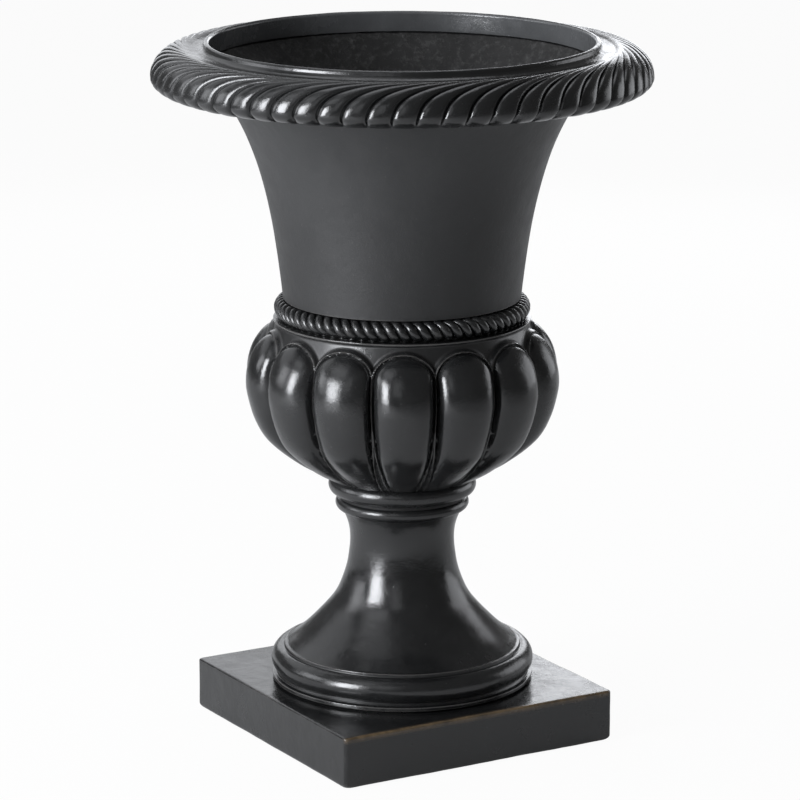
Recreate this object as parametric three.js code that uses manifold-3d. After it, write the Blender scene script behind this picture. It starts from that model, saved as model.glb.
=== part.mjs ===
// An urn planter of the campana kind: a flared bell with a rolled, gadrooned rim on a lobed bowl,
// on a turned pedestal and a square plinth. The sections are hollow castings in dark fibre cement.
// They stack on spigots and ledges, and one tie rod down the middle draws them together.
// Millimetres, +Z up. The origin is on the ground below the middle, and -Y is square to the plinth.

import * as THREE from 'three';
import { mergeVertices } from 'three/addons/utils/BufferGeometryUtils.js';
import Module from 'manifold-3d';

const wasm = await Module();
wasm.setup();

// ---- Driving dimensions ----

// Clearances between pieces that seat in one another
const FIT = 0.5;                // radial, between two castings
const SLIP = 0.3;               // radial, between the rod and what is threaded on it
const EASE = 1.5;               // chamfer that takes the sharpness off a casting's edge

// Ground pads, let into the underside of the plinth
const PAD_RADIUS = 9;
const PAD_THICKNESS = 3;
const PAD_STANDOFF = 1;         // how far a pad stands out below the plinth
const PAD_INSET = 18;           // from the plinth's side to the pad's middle

// Square plinth, open below
const PLINTH_SIDE = 256;
const PLINTH_HEIGHT = 43.8;
const PLINTH_PLATE = 14;
const PLINTH_WALL = 24;
const PLINTH_CORNER = 3.5;      // radius of the upright edges
const PLINTH_TOP_ROUND = 2;     // rounding of the edges of the top face
const PLINTH_FOOT_ROUND = 4;    // worn rounding of the edges on the ground
const PLINTH_WELL_CORNER = 26;  // corner radius of the hollow below
const PLINTH_DRAIN_OFFSET = 58;
const PLINTH_DRAIN_RADIUS = 8;

// Pedestal: a torus foot, a hollow waisted stem and a cap with a locating boss
const PEDESTAL_HEIGHT = 156.75;
const FOOT_RADIUS = 110.8;      // over the torus
const FOOT_DISC_RADIUS = 109.5; // the thin disc below the torus
const FOOT_DISC_HEIGHT = 3.4;
const FOOT_TORUS_MIDDLE = 15.9; // height of the torus's widest line
const FOOT_TORUS_HALF = 11.2;
const FOOT_TORUS_WIDTH = 10.5;  // from the torus's outside to its middle
const FOOT_STEP_RADIUS = 98.5;  // the small fillet above the torus
const FOOT_STEP_HEIGHT = 29.5;
const STEM_WAIST_RADIUS = 43.3;
const STEM_WAIST_HEIGHT = 121;
const CAP_RADIUS = 56;          // the bead below the neck joint
const CAP_BEAD_HALF = 3.9;
const CAP_BEAD_WIDTH = 4;       // from the bead's outside to its middle
const CAP_JOINT_STEP = 0.9;     // from the bead up to the neck joint
const CAP_NECK_RADIUS = 52;     // where the stem meets that bead
const PEDESTAL_WALL = 9.5;
const CAP_PLATE = 14;
const BOSS_RADIUS = 40;
const BOSS_HEIGHT = 11.2;

// Bowl: fourteen round-headed lobes that stand out of a plain swelling
const BOWL_HEIGHT = 154.25;
const BOWL_FOOT_RADIUS = 61.8;   // the bead above the neck joint
const BOWL_FOOT_HEIGHT = 15.75;
const BOWL_FOOT_EDGE = 54;      // the bead's narrow lower edge
const BOWL_BELLY_RADIUS = 116.2; // of the plain swelling between the lobes
const BOWL_FILLET_RADIUS = 106.8; // the band above the lobes
const BOWL_FILLET_HEIGHT = 7.5;
const BOWL_WALL = 10;
const BOWL_FLOOR = 27.5;        // height of the soil floor above the neck joint
const BOWL_FLOOR_RADIUS = 44;
const BOWL_COVE = 6;            // rise of the cove between the soil floor and the wall
const ROD_SEAT_RISE = 1.5;      // of the raised seat round the rod's hole
const ROD_SEAT_MARGIN = 0.5;    // of that seat round the sealing washer
const LOBE_COUNT = 14;
const LOBE_HEIGHT = 15.5;       // how far a lobe stands out of the swelling
const LOBE_ARCH = 19;           // rise of a lobe's round head
const LOBE_COVER = 0.92;        // share of its pitch that a lobe covers
const LOBE_CREST_TURN = 0.7;    // share of the height above which a lobe's crest rounds over
const LOBE_TURN = -3.95;        // degrees, from the front to the middle of a lobe
const MOUTH_RADIUS = 89;        // of the bowl's round opening
const MOUTH_DEPTH = 21;         // height of that opening's straight side

// Rope moulding round the foot of the bell
const ROPE_RADIUS = 107.6;       // over the strands
const ROPE_SECTION = 7.1;       // radius of the rope
const ROPE_STRANDS = 72;
const ROPE_DEPTH = 1.6;         // of the grooves between strands
const ROPE_LAY = -6;            // degrees that a strand leans from its foot to its top

// Bell: a thin flared wall with a spigot below and a flange above
const BELL_HEIGHT = 208.5;
const BELL_FOOT_RADIUS = 98.7;  // outside, just above the rope
const BELL_REBATE_RADIUS = 94;  // outside, behind the rope
const BELL_MOUTH_SETBACK = 7;   // from the inside at the top in to the outside below the rim
const BELL_MOUTH_DEPTH = 22;    // from the flange's top down to there
const BELL_FLANGE_WIDTH = 11;
const BELL_FLANGE_HEIGHT = 6;
const BELL_WALL = 9;
const SPIGOT_DEPTH = 14;
const SPIGOT_WALL = 7.6;

// Rim: a rolled ring of twisted gadroons that sits over the bell's flange
const RIM_RADIUS = 205.6;
const RIM_WIDTH = 46.1;         // from the outside to the crest of the lip round the opening
const RIM_HEIGHT = 17.7;        // of the lip above the ledge that rests on the flange
const RIM_ROLL_WIDTH = 24.1;    // from the roll's outside to its middle
const RIM_ROLL_RISE = 24;       // of the roll above its widest line
const RIM_ROLL_DROP = 12.2;     // and below it
const RIM_ROLL_MIDDLE = -11.5;  // height of the widest line
const RIM_LIP_ROUND = 2.6;
const RIM_BAND_SETBACK = 2.5;   // from the lip's crest in to the smooth band inside the mouth
const RIM_COVE_WIDTH = 8;       // from the lip's crest to the lowest line of the cove outside it
const RIM_COVE_DEPTH = 7.1;     // of that line below the lip's crest
const RIM_UNDERSIDE_INSET = 2;  // from the roll's middle in to its flat underside
const RIM_STRANDS = 64;
const RIM_GROOVE = 4.2;         // depth of the grooves between gadroons
const RIM_TWIST = 32.7;         // degrees that a gadroon would turn over the whole roll
const RIM_SWING = 4.5;          // power by which it turns: upright outside, nearly level inside
const RIM_FADE = 0.93;          // share of the roll where the grooves have run out
const RIM_TURN = 1.1;           // degrees, from the front to a groove's lower end

// Bedding rings in the two joints that carry the load
const NECK_GASKET = 1.5;
const PLINTH_GASKET = 1;
const GASKET_SETBACK = 1.5;     // from the castings' edges to the ring's edge

// Tie rod and what is threaded on it
const ROD_RADIUS = 5;
const ROD_BORE = 5.5;           // radius of the holes in the castings
const ROD_TAIL = 5;             // of rod beyond each nut
const NUT_FLATS = 17;
const NUT_HEIGHT = 8;
const WASHER_RADIUS = 14;
const WASHER_THICKNESS = 2.5;
const SEAL_RADIUS = 15;
const SEAL_THICKNESS = 3;
const BASE_WASHER_RADIUS = 16;
const BASE_WASHER_THICKNESS = 3;

// Drain in the soil floor, and the plug that closes it
const DRAIN_OFFSET = 26.6;
const DRAIN_BEARING = 90;       // degrees, from the front to the drain
const DRAIN_RADIUS = 7.2;
const DRAIN_RECESS = 3;         // depth of the recess that the plug's flange lies in
const PLUG_FLANGE_RADIUS = 10;
const PLUG_FLANGE_THICKNESS = 2.6;
const PLUG_LENGTH = 12;
const PLUG_LEAD = 4;            // length of the tapered lead at its lower end
const PLUG_TAPER = 1.4;
const PLUG_KNOB_HEIGHT = 8;
const PLUG_KNOB_RADIUS = 3.8;
const PLUG_KNOB_ROUND = 1;

// Facets: sides round a plain turned piece, and samples along each gadroon, lobe and strand
const TURNED_SIDES = 34;
const BELL_SIDES = 42;
const BOWL_SIDES = 3 * LOBE_COUNT;
const BOWL_INNER_SIDES = 2 * LOBE_COUNT;
const SMALL_SIDES = 20;
const DRAIN_SIDES = 16;
const RIM_SEAT_SIDES = 42;
const SAMPLES_PER_GADROON = 3;
const LOBE_COLUMNS = [0, 0.42, 0.78, 1, 1.22, 1.58]; // in half pitches from a lobe's middle
const SAMPLES_PER_STRAND = 2;

// ---- Heights of the stack, from the ground up ----

const PLINTH_Z = PAD_STANDOFF;
const PLINTH_TOP_Z = PLINTH_Z + PLINTH_HEIGHT;
const PEDESTAL_Z = PLINTH_TOP_Z + PLINTH_GASKET;
const PEDESTAL_TOP_Z = PEDESTAL_Z + PEDESTAL_HEIGHT;
const BOWL_Z = PEDESTAL_TOP_Z + NECK_GASKET;
const FLOOR_Z = BOWL_Z + BOWL_FLOOR;
const BELL_Z = BOWL_Z + BOWL_HEIGHT;
const RIM_Z = BELL_Z + BELL_HEIGHT;

// ---- Radii that one piece takes from another ----

const RIM_LIP_RADIUS = RIM_RADIUS - RIM_WIDTH;
const BELL_INSIDE_RADIUS = RIM_LIP_RADIUS - RIM_BAND_SETBACK;
const BELL_MOUTH_RADIUS = BELL_INSIDE_RADIUS - BELL_MOUTH_SETBACK;
const FOOT_DISC_EDGE = FOOT_DISC_RADIUS - EASE;

// The rope's height above the bowl's top face, which the bell's rebate clears
const ROPE_HEIGHT = 2 * ROPE_SECTION;

// ---- Helpers ----

const radians = THREE.MathUtils.degToRad;
const QUARTER = Math.PI / 2;

// A point on an ellipse round a centre, by its angle from straight outward
function onEllipse(centre, halfWidth, halfHeight, angle) {
  return [centre[0] + halfWidth * Math.cos(angle), centre[1] + halfHeight * Math.sin(angle)];
}

// Points along an arc of an ellipse, both ends included
function arc(centre, halfWidth, halfHeight, from, to, steps) {
  const points = [];
  for (let i = 0; i <= steps; i++) {
    points.push(onEllipse(centre, halfWidth, halfHeight, from + ((to - from) * i) / steps));
  }
  return points;
}

// A smooth line through a few [radius, height] points
function smoothThrough(points, steps) {
  const curve = new THREE.SplineCurve(points.map(([r, z]) => new THREE.Vector2(r, z)));
  return curve.getPoints(steps).map((point) => [point.x, point.y]);
}

// Merges the shared corners, so that a closed shape is one closed skin, and drops slivers
function weld(geometry) {
  geometry.deleteAttribute('normal');
  geometry.deleteAttribute('uv');
  const merged = mergeVertices(geometry);
  const corners = merged.index.array;
  const kept = [];
  for (let i = 0; i < corners.length; i += 3) {
    const [a, b, c] = [corners[i], corners[i + 1], corners[i + 2]];
    if (a !== b && b !== c && c !== a) kept.push(a, b, c);
  }
  merged.setIndex(kept);
  return merged;
}

// Turns an outline of [radius, height] points, anticlockwise, into a solid of revolution
function turned(outline, sides) {
  const points = [...outline, outline[0]].map(([r, z]) => new THREE.Vector2(r, z));
  const geometry = new THREE.LatheGeometry(points, sides);
  geometry.rotateX(QUARTER);
  return weld(geometry);
}

// A ring of points round the axis, from the front towards +X; place(angle, i) gives [radius, height]
function ring(sides, place, turn = 0) {
  return Array.from({ length: sides }, (_, i) => {
    const angle = turn + (2 * Math.PI * i) / sides;
    const [r, z, shift = 0] = place(angle, i);
    const bearing = angle + shift;
    return new THREE.Vector3(r * Math.sin(bearing), -r * Math.cos(bearing), z);
  });
}

// A plain ring at one radius and height
const circle = (sides, [r, z], turn = 0) => ring(sides, () => [r, z], turn);

// Skins a closed loop of rings, which may have different numbers of points
function skin(rings) {
  const positions = [];
  const starts = [];
  for (const points of rings) {
    starts.push(positions.length / 3);
    for (const point of points) positions.push(point.x, point.y, point.z);
  }
  const faces = [];
  for (let k = 0; k < rings.length; k++) {
    const next = (k + 1) % rings.length;
    zip(starts[k], rings[k].length, starts[next], rings[next].length, faces);
  }
  const geometry = new THREE.BufferGeometry();
  geometry.setAttribute('position', new THREE.Float32BufferAttribute(positions, 3));
  geometry.setIndex(faces);
  return geometry;
}

// Fills the band between two rings, stepping along whichever of them lags behind
function zip(lowerStart, lowerCount, upperStart, upperCount, faces) {
  let i = 0;
  let j = 0;
  while (i < lowerCount || j < upperCount) {
    const lower = lowerStart + (i % lowerCount);
    const upper = upperStart + (j % upperCount);
    const lowerLags = i < lowerCount && (i + 1) / lowerCount <= (j + 1) / upperCount;
    if (j === upperCount || lowerLags) {
      i++;
      faces.push(lower, lowerStart + (i % lowerCount), upper);
    } else {
      j++;
      faces.push(lower, upperStart + (j % upperCount), upper);
    }
  }
}

function toSolid(geometry) {
  return new wasm.Manifold(new wasm.Mesh({
    numProp: 3,
    vertProperties: new Float32Array(geometry.attributes.position.array),
    triVerts: new Uint32Array(geometry.index.array),
  }));
}

// Cuts holes and pockets out of a shape
function cut(geometry, cutters) {
  let solid = toSolid(geometry);
  for (const cutter of cutters) solid = solid.subtract(toSolid(cutter));
  const mesh = solid.getMesh();
  const result = new THREE.BufferGeometry();
  result.setAttribute('position', new THREE.BufferAttribute(mesh.vertProperties, 3));
  result.setIndex(new THREE.BufferAttribute(mesh.triVerts, 1));
  return result;
}

// An upright round bar from one height to another, with its middle at x, y
function bar(radius, from, to, sides, x = 0, y = 0) {
  const geometry = new THREE.CylinderGeometry(radius, radius, to - from, sides);
  geometry.rotateX(QUARTER);
  geometry.translate(x, y, (from + to) / 2);
  return weld(geometry);
}

// A flat ring with a round hole, its outside with any number of sides
function flatRing(outerRadius, holeRadius, thickness, outerSides, holeSides = outerSides) {
  return skin([
    circle(outerSides, [outerRadius, 0]),
    circle(outerSides, [outerRadius, thickness]),
    circle(holeSides, [holeRadius, thickness]),
    circle(holeSides, [holeRadius, 0]),
  ]);
}

// Where the drain stands, in plan
const drainX = DRAIN_OFFSET * Math.sin(radians(DRAIN_BEARING));
const drainY = -DRAIN_OFFSET * Math.cos(radians(DRAIN_BEARING));

// A cutter for the drain that goes right through a floor
function drainCutter(from, to) {
  return bar(DRAIN_RADIUS, from - 1, to + 1, DRAIN_SIDES, drainX, drainY);
}

// ---- Plinth ----

// Points round a square with rounded corners, one group of points to a corner
function squareRing(half, corner, z, stepsPerCorner = 2) {
  const points = [];
  for (let k = 0; k < 4; k++) {
    for (let i = 0; i <= stepsPerCorner; i++) {
      const angle = k * QUARTER + (QUARTER * i) / stepsPerCorner;
      const [x, y] = turnPlan(half - corner + corner * Math.sin(angle - k * QUARTER),
        -(half - corner) - corner * Math.cos(angle - k * QUARTER), k);
      points.push(new THREE.Vector3(x, y, z));
    }
  }
  return points;
}

// Turns a point in plan by a number of quarter turns
function turnPlan(x, y, quarters) {
  const angle = quarters * QUARTER;
  return [x * Math.cos(angle) - y * Math.sin(angle), x * Math.sin(angle) + y * Math.cos(angle)];
}

const padPlaces = [[-1, -1], [1, -1], [1, 1], [-1, 1]].map(([sideX, sideY]) => {
  const reach = PLINTH_SIDE / 2 - PAD_INSET;
  return [sideX * reach, sideY * reach];
});

function plinthGeometry() {
  const half = PLINTH_SIDE / 2;
  const well = half - PLINTH_WALL;
  const wellTop = PLINTH_HEIGHT - PLINTH_PLATE;
  const rings = [];
  // Outside, from the worn edge on the ground up to the top face
  for (let i = 0; i <= 3; i++) {
    const angle = (QUARTER * i) / 3;
    const inset = PLINTH_FOOT_ROUND * (1 - Math.sin(angle));
    const z = PLINTH_FOOT_ROUND * (1 - Math.cos(angle));
    rings.push(squareRing(half - inset, PLINTH_CORNER + PLINTH_FOOT_ROUND - inset / 2, z));
  }
  for (let i = 0; i <= 2; i++) {
    const angle = (QUARTER * i) / 2;
    const inset = PLINTH_TOP_ROUND * (1 - Math.cos(angle));
    const z = PLINTH_HEIGHT - PLINTH_TOP_ROUND * (1 - Math.sin(angle));
    rings.push(squareRing(half - inset, PLINTH_CORNER, z));
  }
  // Rod hole, then the hollow below
  rings.push(circle(SMALL_SIDES, [ROD_BORE, PLINTH_HEIGHT], QUARTER / 2));
  rings.push(circle(SMALL_SIDES, [ROD_BORE, wellTop], QUARTER / 2));
  rings.push(squareRing(well, PLINTH_WELL_CORNER, wellTop));
  rings.push(squareRing(well, PLINTH_WELL_CORNER, 0));

  const drains = [-1, 1].map((side) =>
    bar(PLINTH_DRAIN_RADIUS, wellTop - 1, PLINTH_HEIGHT + 1, DRAIN_SIDES, side * PLINTH_DRAIN_OFFSET));
  const pockets = padPlaces.map(([x, y]) =>
    bar(PAD_RADIUS + FIT, -1, PAD_THICKNESS - PAD_STANDOFF, DRAIN_SIDES, x, y));
  return cut(skin(rings), [...drains, ...pockets]);
}

// ---- Pedestal ----

// Outside of the stem as a few [radius, height] points: a sweep up from the foot to the waist,
// then out again to the cap
function stemOutline() {
  const capNeck = PEDESTAL_HEIGHT - 2 * CAP_BEAD_HALF - 2 * CAP_JOINT_STEP;
  const sweep = FOOT_STEP_RADIUS - EASE - STEM_WAIST_RADIUS;
  const rise = STEM_WAIST_HEIGHT - FOOT_STEP_HEIGHT;
  const along = (share, height) => [
    STEM_WAIST_RADIUS + sweep * share,
    FOOT_STEP_HEIGHT + rise * height,
  ];
  const flare = CAP_NECK_RADIUS - STEM_WAIST_RADIUS;
  const neck = capNeck - STEM_WAIST_HEIGHT;
  const above = (share, height) => [
    STEM_WAIST_RADIUS + flare * share,
    STEM_WAIST_HEIGHT + neck * height,
  ];
  return smoothThrough([
    along(1, 0), along(0.78, 0.1), along(0.586, 0.21), along(0.41, 0.32), along(0.26, 0.43),
    along(0.16, 0.54), along(0.06, 0.71), along(0.01, 0.88), above(0, 0),
    above(0.16, 0.4), above(0.55, 0.75), above(1, 1),
  ], 10);
}

function pedestalGeometry() {
  const waistInside = STEM_WAIST_RADIUS - PEDESTAL_WALL;
  const ceiling = PEDESTAL_HEIGHT - CAP_PLATE;
  const bossTop = PEDESTAL_HEIGHT + BOSS_HEIGHT;
  const beadMiddle = PEDESTAL_HEIGHT - CAP_BEAD_HALF - CAP_JOINT_STEP;
  const torusMiddle = [FOOT_RADIUS - FOOT_TORUS_WIDTH, FOOT_TORUS_MIDDLE];
  const outline = [
    [FOOT_DISC_EDGE, 0],
    [FOOT_DISC_RADIUS, EASE],
    [FOOT_DISC_RADIUS, FOOT_DISC_HEIGHT],
    ...arc(torusMiddle, FOOT_TORUS_WIDTH, FOOT_TORUS_HALF, radians(-72), radians(72), 4),
    [FOOT_STEP_RADIUS, FOOT_STEP_HEIGHT - 1.5 * EASE],
    [FOOT_STEP_RADIUS, FOOT_STEP_HEIGHT - EASE / 2],
    ...stemOutline(),
    ...arc([CAP_RADIUS - CAP_BEAD_WIDTH, beadMiddle], CAP_BEAD_WIDTH, CAP_BEAD_HALF,
      radians(-60), radians(60), 2),
    [BOWL_FOOT_EDGE, PEDESTAL_HEIGHT],
    [BOSS_RADIUS, PEDESTAL_HEIGHT],
    [BOSS_RADIUS, bossTop - EASE],
    [BOSS_RADIUS - EASE, bossTop],
    [ROD_BORE, bossTop],
    [ROD_BORE, ceiling],
    [waistInside + 4, ceiling],
    [waistInside, STEM_WAIST_HEIGHT],
    ...smoothThrough([
      [waistInside + 3, STEM_WAIST_HEIGHT * 0.74],
      [waistInside + 17, STEM_WAIST_HEIGHT * 0.48],
      [FOOT_STEP_RADIUS - 28, FOOT_STEP_HEIGHT],
      [FOOT_STEP_RADIUS - 7, FOOT_STEP_HEIGHT * 0.42],
      [FOOT_STEP_RADIUS - 4, 0],
    ], 4),
  ];
  return cut(turned(outline, TURNED_SIDES), [drainCutter(ceiling, bossTop)]);
}

// ---- Bowl ----

const LOBE_ZONE = BOWL_HEIGHT - BOWL_FILLET_HEIGHT - BOWL_FOOT_HEIGHT;

// Radius of the plain swelling, as a smooth line through shares of the belly and of the lobe zone
const swelling = smoothThrough([
  [0.53, 0], [0.703, 0.107], [0.866, 0.26], [0.944, 0.412], [0.991, 0.565], [1, 0.66],
  [0.982, 0.794], [0.95, 0.908], [0.921, 1],
], 60);

function swellingRadius(share) {
  const next = Math.max(1, swelling.findIndex(([, height]) => height >= share - 1e-9));
  const [r0, h0] = swelling[next - 1];
  const [r1, h1] = swelling[next];
  return BOWL_BELLY_RADIUS * (r0 + ((r1 - r0) * (share - h0)) / (h1 - h0));
}

// How far a lobe stands out along its middle: it swells from the foot and rounds over at its head
function lobeCrest(share) {
  const swell = 0.16 + 0.84 * Math.sin(QUARTER * Math.min(1, share / 0.45));
  const over = Math.max(0, (share - LOBE_CREST_TURN) / (1 - LOBE_CREST_TURN));
  return LOBE_HEIGHT * swell * Math.sqrt(Math.max(0, 1 - over * over));
}

// Half the width of a lobe as a share of its pitch: full below, narrowing under the round head
function lobeHalfWidth(share) {
  const arch = LOBE_ARCH / LOBE_ZONE;
  const over = Math.max(0, (share - (1 - arch)) / arch);
  return LOBE_COVER * Math.sqrt(Math.max(1e-6, 1 - over * over));
}

// One ring of the lobed swelling, at a share of the lobe zone's height
function lobeRing(share) {
  const z = BOWL_FOOT_HEIGHT + LOBE_ZONE * share;
  const base = swellingRadius(share);
  const half = lobeHalfWidth(share);
  const crest = lobeCrest(share);
  const columns = LOBE_COLUMNS.length;
  const halfPitch = Math.PI / LOBE_COUNT;
  return ring(LOBE_COUNT * columns, (_, i) => {
    const across = LOBE_COLUMNS[i % columns];
    const away = Math.min(across, 2 - across) / half;
    const swell = away < 1 ? Math.sqrt(1 - away ** 2.2) : 0;
    const even = (2 * (i % columns)) / columns;
    return [base + crest * swell, z, (across - even) * halfPitch];
  }, radians(LOBE_TURN));
}

function bowlGeometry() {
  const turn = radians(LOBE_TURN);
  const plain = (point) => circle(BOWL_SIDES, point, turn);
  const hidden = (point) => circle(BOWL_INNER_SIDES, point, turn);
  const small = (point) => circle(SMALL_SIDES, point, turn);
  const seat = SEAL_RADIUS + ROD_SEAT_MARGIN;
  const filletFoot = BOWL_HEIGHT - BOWL_FILLET_HEIGHT;
  const socket = BOSS_RADIUS + FIT;
  const socketDepth = BOSS_HEIGHT + NECK_GASKET / 2;
  const inside = (share, height) => [
    swellingRadius(share) - BOWL_WALL,
    BOWL_FOOT_HEIGHT + LOBE_ZONE * height,
  ];
  const beadWidth = BOWL_FOOT_RADIUS - BOWL_FOOT_EDGE;
  const rings = [
    // Bead above the neck joint
    ...arc([BOWL_FOOT_EDGE, BOWL_FOOT_HEIGHT / 2], beadWidth, BOWL_FOOT_HEIGHT / 2,
      -QUARTER, radians(60), 4).map(plain),
    // Lobes, closer together where their heads round over
    ...[0, 0.1, 0.23, 0.38, 0.54, 0.7, 0.83, 0.91, 0.965, 1].map(lobeRing),
    // Band above the lobes and the face that carries the rope and the bell
    plain([BOWL_FILLET_RADIUS - EASE, filletFoot + EASE]),
    plain([BOWL_FILLET_RADIUS, filletFoot + 2 * EASE]),
    plain([BOWL_FILLET_RADIUS, BOWL_HEIGHT - EASE]),
    plain([BOWL_FILLET_RADIUS - EASE, BOWL_HEIGHT]),
    plain([MOUTH_RADIUS, BOWL_HEIGHT]),
    // Inside: a straight mouth, a belly that follows the swelling, and a flat floor
    plain([MOUTH_RADIUS, BOWL_HEIGHT - MOUTH_DEPTH]),
    hidden(inside(0.72, 0.74)),
    hidden(inside(0.56, 0.58)),
    hidden(inside(0.36, 0.42)),
    hidden(inside(0.2, 0.28)),
    hidden([swellingRadius(0.05) - BOWL_WALL / 3, BOWL_FLOOR + BOWL_COVE]),
    hidden([BOWL_FLOOR_RADIUS, BOWL_FLOOR]),
    // Raised seat for the sealing washer, rod hole and the socket for the pedestal's boss
    small([seat, BOWL_FLOOR]),
    small([seat, BOWL_FLOOR + ROD_SEAT_RISE]),
    small([ROD_BORE, BOWL_FLOOR + ROD_SEAT_RISE]),
    small([ROD_BORE, socketDepth]),
    hidden([socket, socketDepth]),
    hidden([socket, 0]),
  ];
  const recess = bar(PLUG_FLANGE_RADIUS + FIT, BOWL_FLOOR - DRAIN_RECESS, BOWL_FLOOR + 1,
    DRAIN_SIDES, drainX, drainY);
  return cut(skin(rings), [drainCutter(socketDepth, BOWL_FLOOR), recess]);
}

// ---- Rope moulding ----

function ropeGeometry() {
  const middle = [ROPE_RADIUS - ROPE_SECTION, ROPE_SECTION];
  const bore = BELL_REBATE_RADIUS + FIT;
  const sides = ROPE_STRANDS * SAMPLES_PER_STRAND;
  const plain = (point) => circle(ROPE_STRANDS, point);
  const foot = radians(-70);
  const top = radians(90);
  const steps = 3;
  const strands = Array.from({ length: steps + 1 }, (_, k) => {
    const share = k / steps;
    const angle = foot + (top - foot) * share;
    return ring(sides, (_, i) => {
      const depth = i % SAMPLES_PER_STRAND === 0 ? ROPE_DEPTH : 0;
      const radius = ROPE_SECTION - depth * Math.sin(Math.PI * Math.min(0.8, share + 0.15));
      const [r, z] = onEllipse(middle, radius, radius, angle);
      return [r, z, radians(ROPE_LAY) * share];
    });
  });
  return skin([
    plain([bore, 0]),
    plain([middle[0] + 1.5, 0]),
    ...strands,
    plain([bore, ROPE_HEIGHT - 0.6]),
  ]);
}

// ---- Bell ----

function bellGeometry() {
  const ropeTop = ROPE_HEIGHT + SLIP;
  const mouth = BELL_HEIGHT - BELL_MOUTH_DEPTH;
  const flare = BELL_MOUTH_RADIUS - BELL_FOOT_RADIUS;
  const rise = mouth - ropeTop;
  const wall = new THREE.CubicBezierCurve(
    new THREE.Vector2(BELL_FOOT_RADIUS, ropeTop),
    new THREE.Vector2(BELL_FOOT_RADIUS + 0.18 * flare, ropeTop + 0.49 * rise),
    new THREE.Vector2(BELL_FOOT_RADIUS + 0.4 * flare, ropeTop + 0.76 * rise),
    new THREE.Vector2(BELL_MOUTH_RADIUS, mouth),
  ).getPoints(7).map((point) => [point.x, point.y]);
  const inner = wall.filter((_, i) => i % 2 === 1).reverse().map(([r, z]) => [r - BELL_WALL, z]);
  const spigot = MOUTH_RADIUS - FIT;
  const flange = BELL_INSIDE_RADIUS + BELL_FLANGE_WIDTH;
  return turned([
    [spigot - SPIGOT_WALL, -SPIGOT_DEPTH],
    [spigot - EASE, -SPIGOT_DEPTH],
    [spigot, -SPIGOT_DEPTH + EASE],
    [spigot, 0],
    [BELL_REBATE_RADIUS, 0],
    [BELL_REBATE_RADIUS, ropeTop],
    ...wall,
    [flange, BELL_HEIGHT - BELL_FLANGE_HEIGHT],
    [flange, BELL_HEIGHT],
    [BELL_INSIDE_RADIUS, BELL_HEIGHT],
    ...inner,
    [spigot - SPIGOT_WALL + 2, ropeTop],
  ], BELL_SIDES);
}

// ---- Rim ----

// A point of the roll by its angle from straight outward, sunk below the surface by a depth
function rollPoint(angle, depth) {
  const centre = [RIM_RADIUS - RIM_ROLL_WIDTH, RIM_ROLL_MIDDLE];
  const height = angle > 0 ? RIM_ROLL_RISE : RIM_ROLL_DROP;
  return onEllipse(centre, RIM_ROLL_WIDTH - depth, height - depth, angle);
}

// The gadroons run from the roll's lower end, share 0, over its widest line to its inner end, share 1
const ROLL_LOWEST = radians(-62);
const ROLL_INNERMOST = radians(110);
const LEVEL_SHARE = -ROLL_LOWEST / (ROLL_INNERMOST - ROLL_LOWEST);

function gadroonRing(share) {
  const angle = ROLL_LOWEST + (ROLL_INNERMOST - ROLL_LOWEST) * share;
  const fade = Math.max(0, Math.min(1, 0.35 + 4 * share, 5 * (RIM_FADE - share)));
  const twist = radians(RIM_TWIST) * Math.min(share, RIM_FADE) ** RIM_SWING;
  const sides = RIM_STRANDS * SAMPLES_PER_GADROON;
  return ring(sides, (_, i) => {
    const across = (2 * (i % SAMPLES_PER_GADROON)) / SAMPLES_PER_GADROON - 1;   // -1 in a groove
    const groove = Math.max(0, 1.5 * Math.abs(across) - 0.5) ** 1.5;
    return [...rollPoint(angle, RIM_GROOVE * fade * groove), twist];
  }, radians(RIM_TURN));
}

function rimGeometry() {
  const turn = radians(RIM_TURN);
  const plain = (point) => circle(RIM_STRANDS, point, turn);
  const seat = (point) => circle(RIM_SEAT_SIDES, point);
  const flange = BELL_INSIDE_RADIUS + BELL_FLANGE_WIDTH + FIT;
  const throat = BELL_MOUTH_RADIUS + FIT;
  const underside = RIM_ROLL_MIDDLE - RIM_ROLL_DROP;
  const lipFoot = RIM_HEIGHT - RIM_LIP_ROUND;
  return skin([
    // Flat underside, gadroons, then the cove and the lip
    seat([throat, underside]),
    plain([RIM_RADIUS - RIM_ROLL_WIDTH - RIM_UNDERSIDE_INSET, underside]),
    ...[0, 0.17, LEVEL_SHARE, 0.53, 0.67, 0.77, 0.85, RIM_FADE].map(gadroonRing),
    plain(rollPoint(ROLL_INNERMOST, 0)),
    plain([RIM_LIP_RADIUS + RIM_COVE_WIDTH, RIM_HEIGHT - RIM_COVE_DEPTH]),
    plain([RIM_LIP_RADIUS + RIM_LIP_ROUND + EASE, RIM_HEIGHT - RIM_COVE_DEPTH + EASE]),
    plain([RIM_LIP_RADIUS + RIM_LIP_ROUND, lipFoot + 1]),
    plain([RIM_LIP_RADIUS, RIM_HEIGHT]),
    seat([BELL_INSIDE_RADIUS, lipFoot]),
    // Band inside the mouth, and the seat over the bell's flange
    seat([BELL_INSIDE_RADIUS, 0]),
    seat([flange, 0]),
    seat([flange, -BELL_FLANGE_HEIGHT]),
    seat([throat, -BELL_MOUTH_DEPTH]),
  ]);
}

// ---- Small pieces ----

function gasketGeometry(outer, inner, thickness) {
  return flatRing(outer, inner, thickness, TURNED_SIDES);
}

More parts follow.
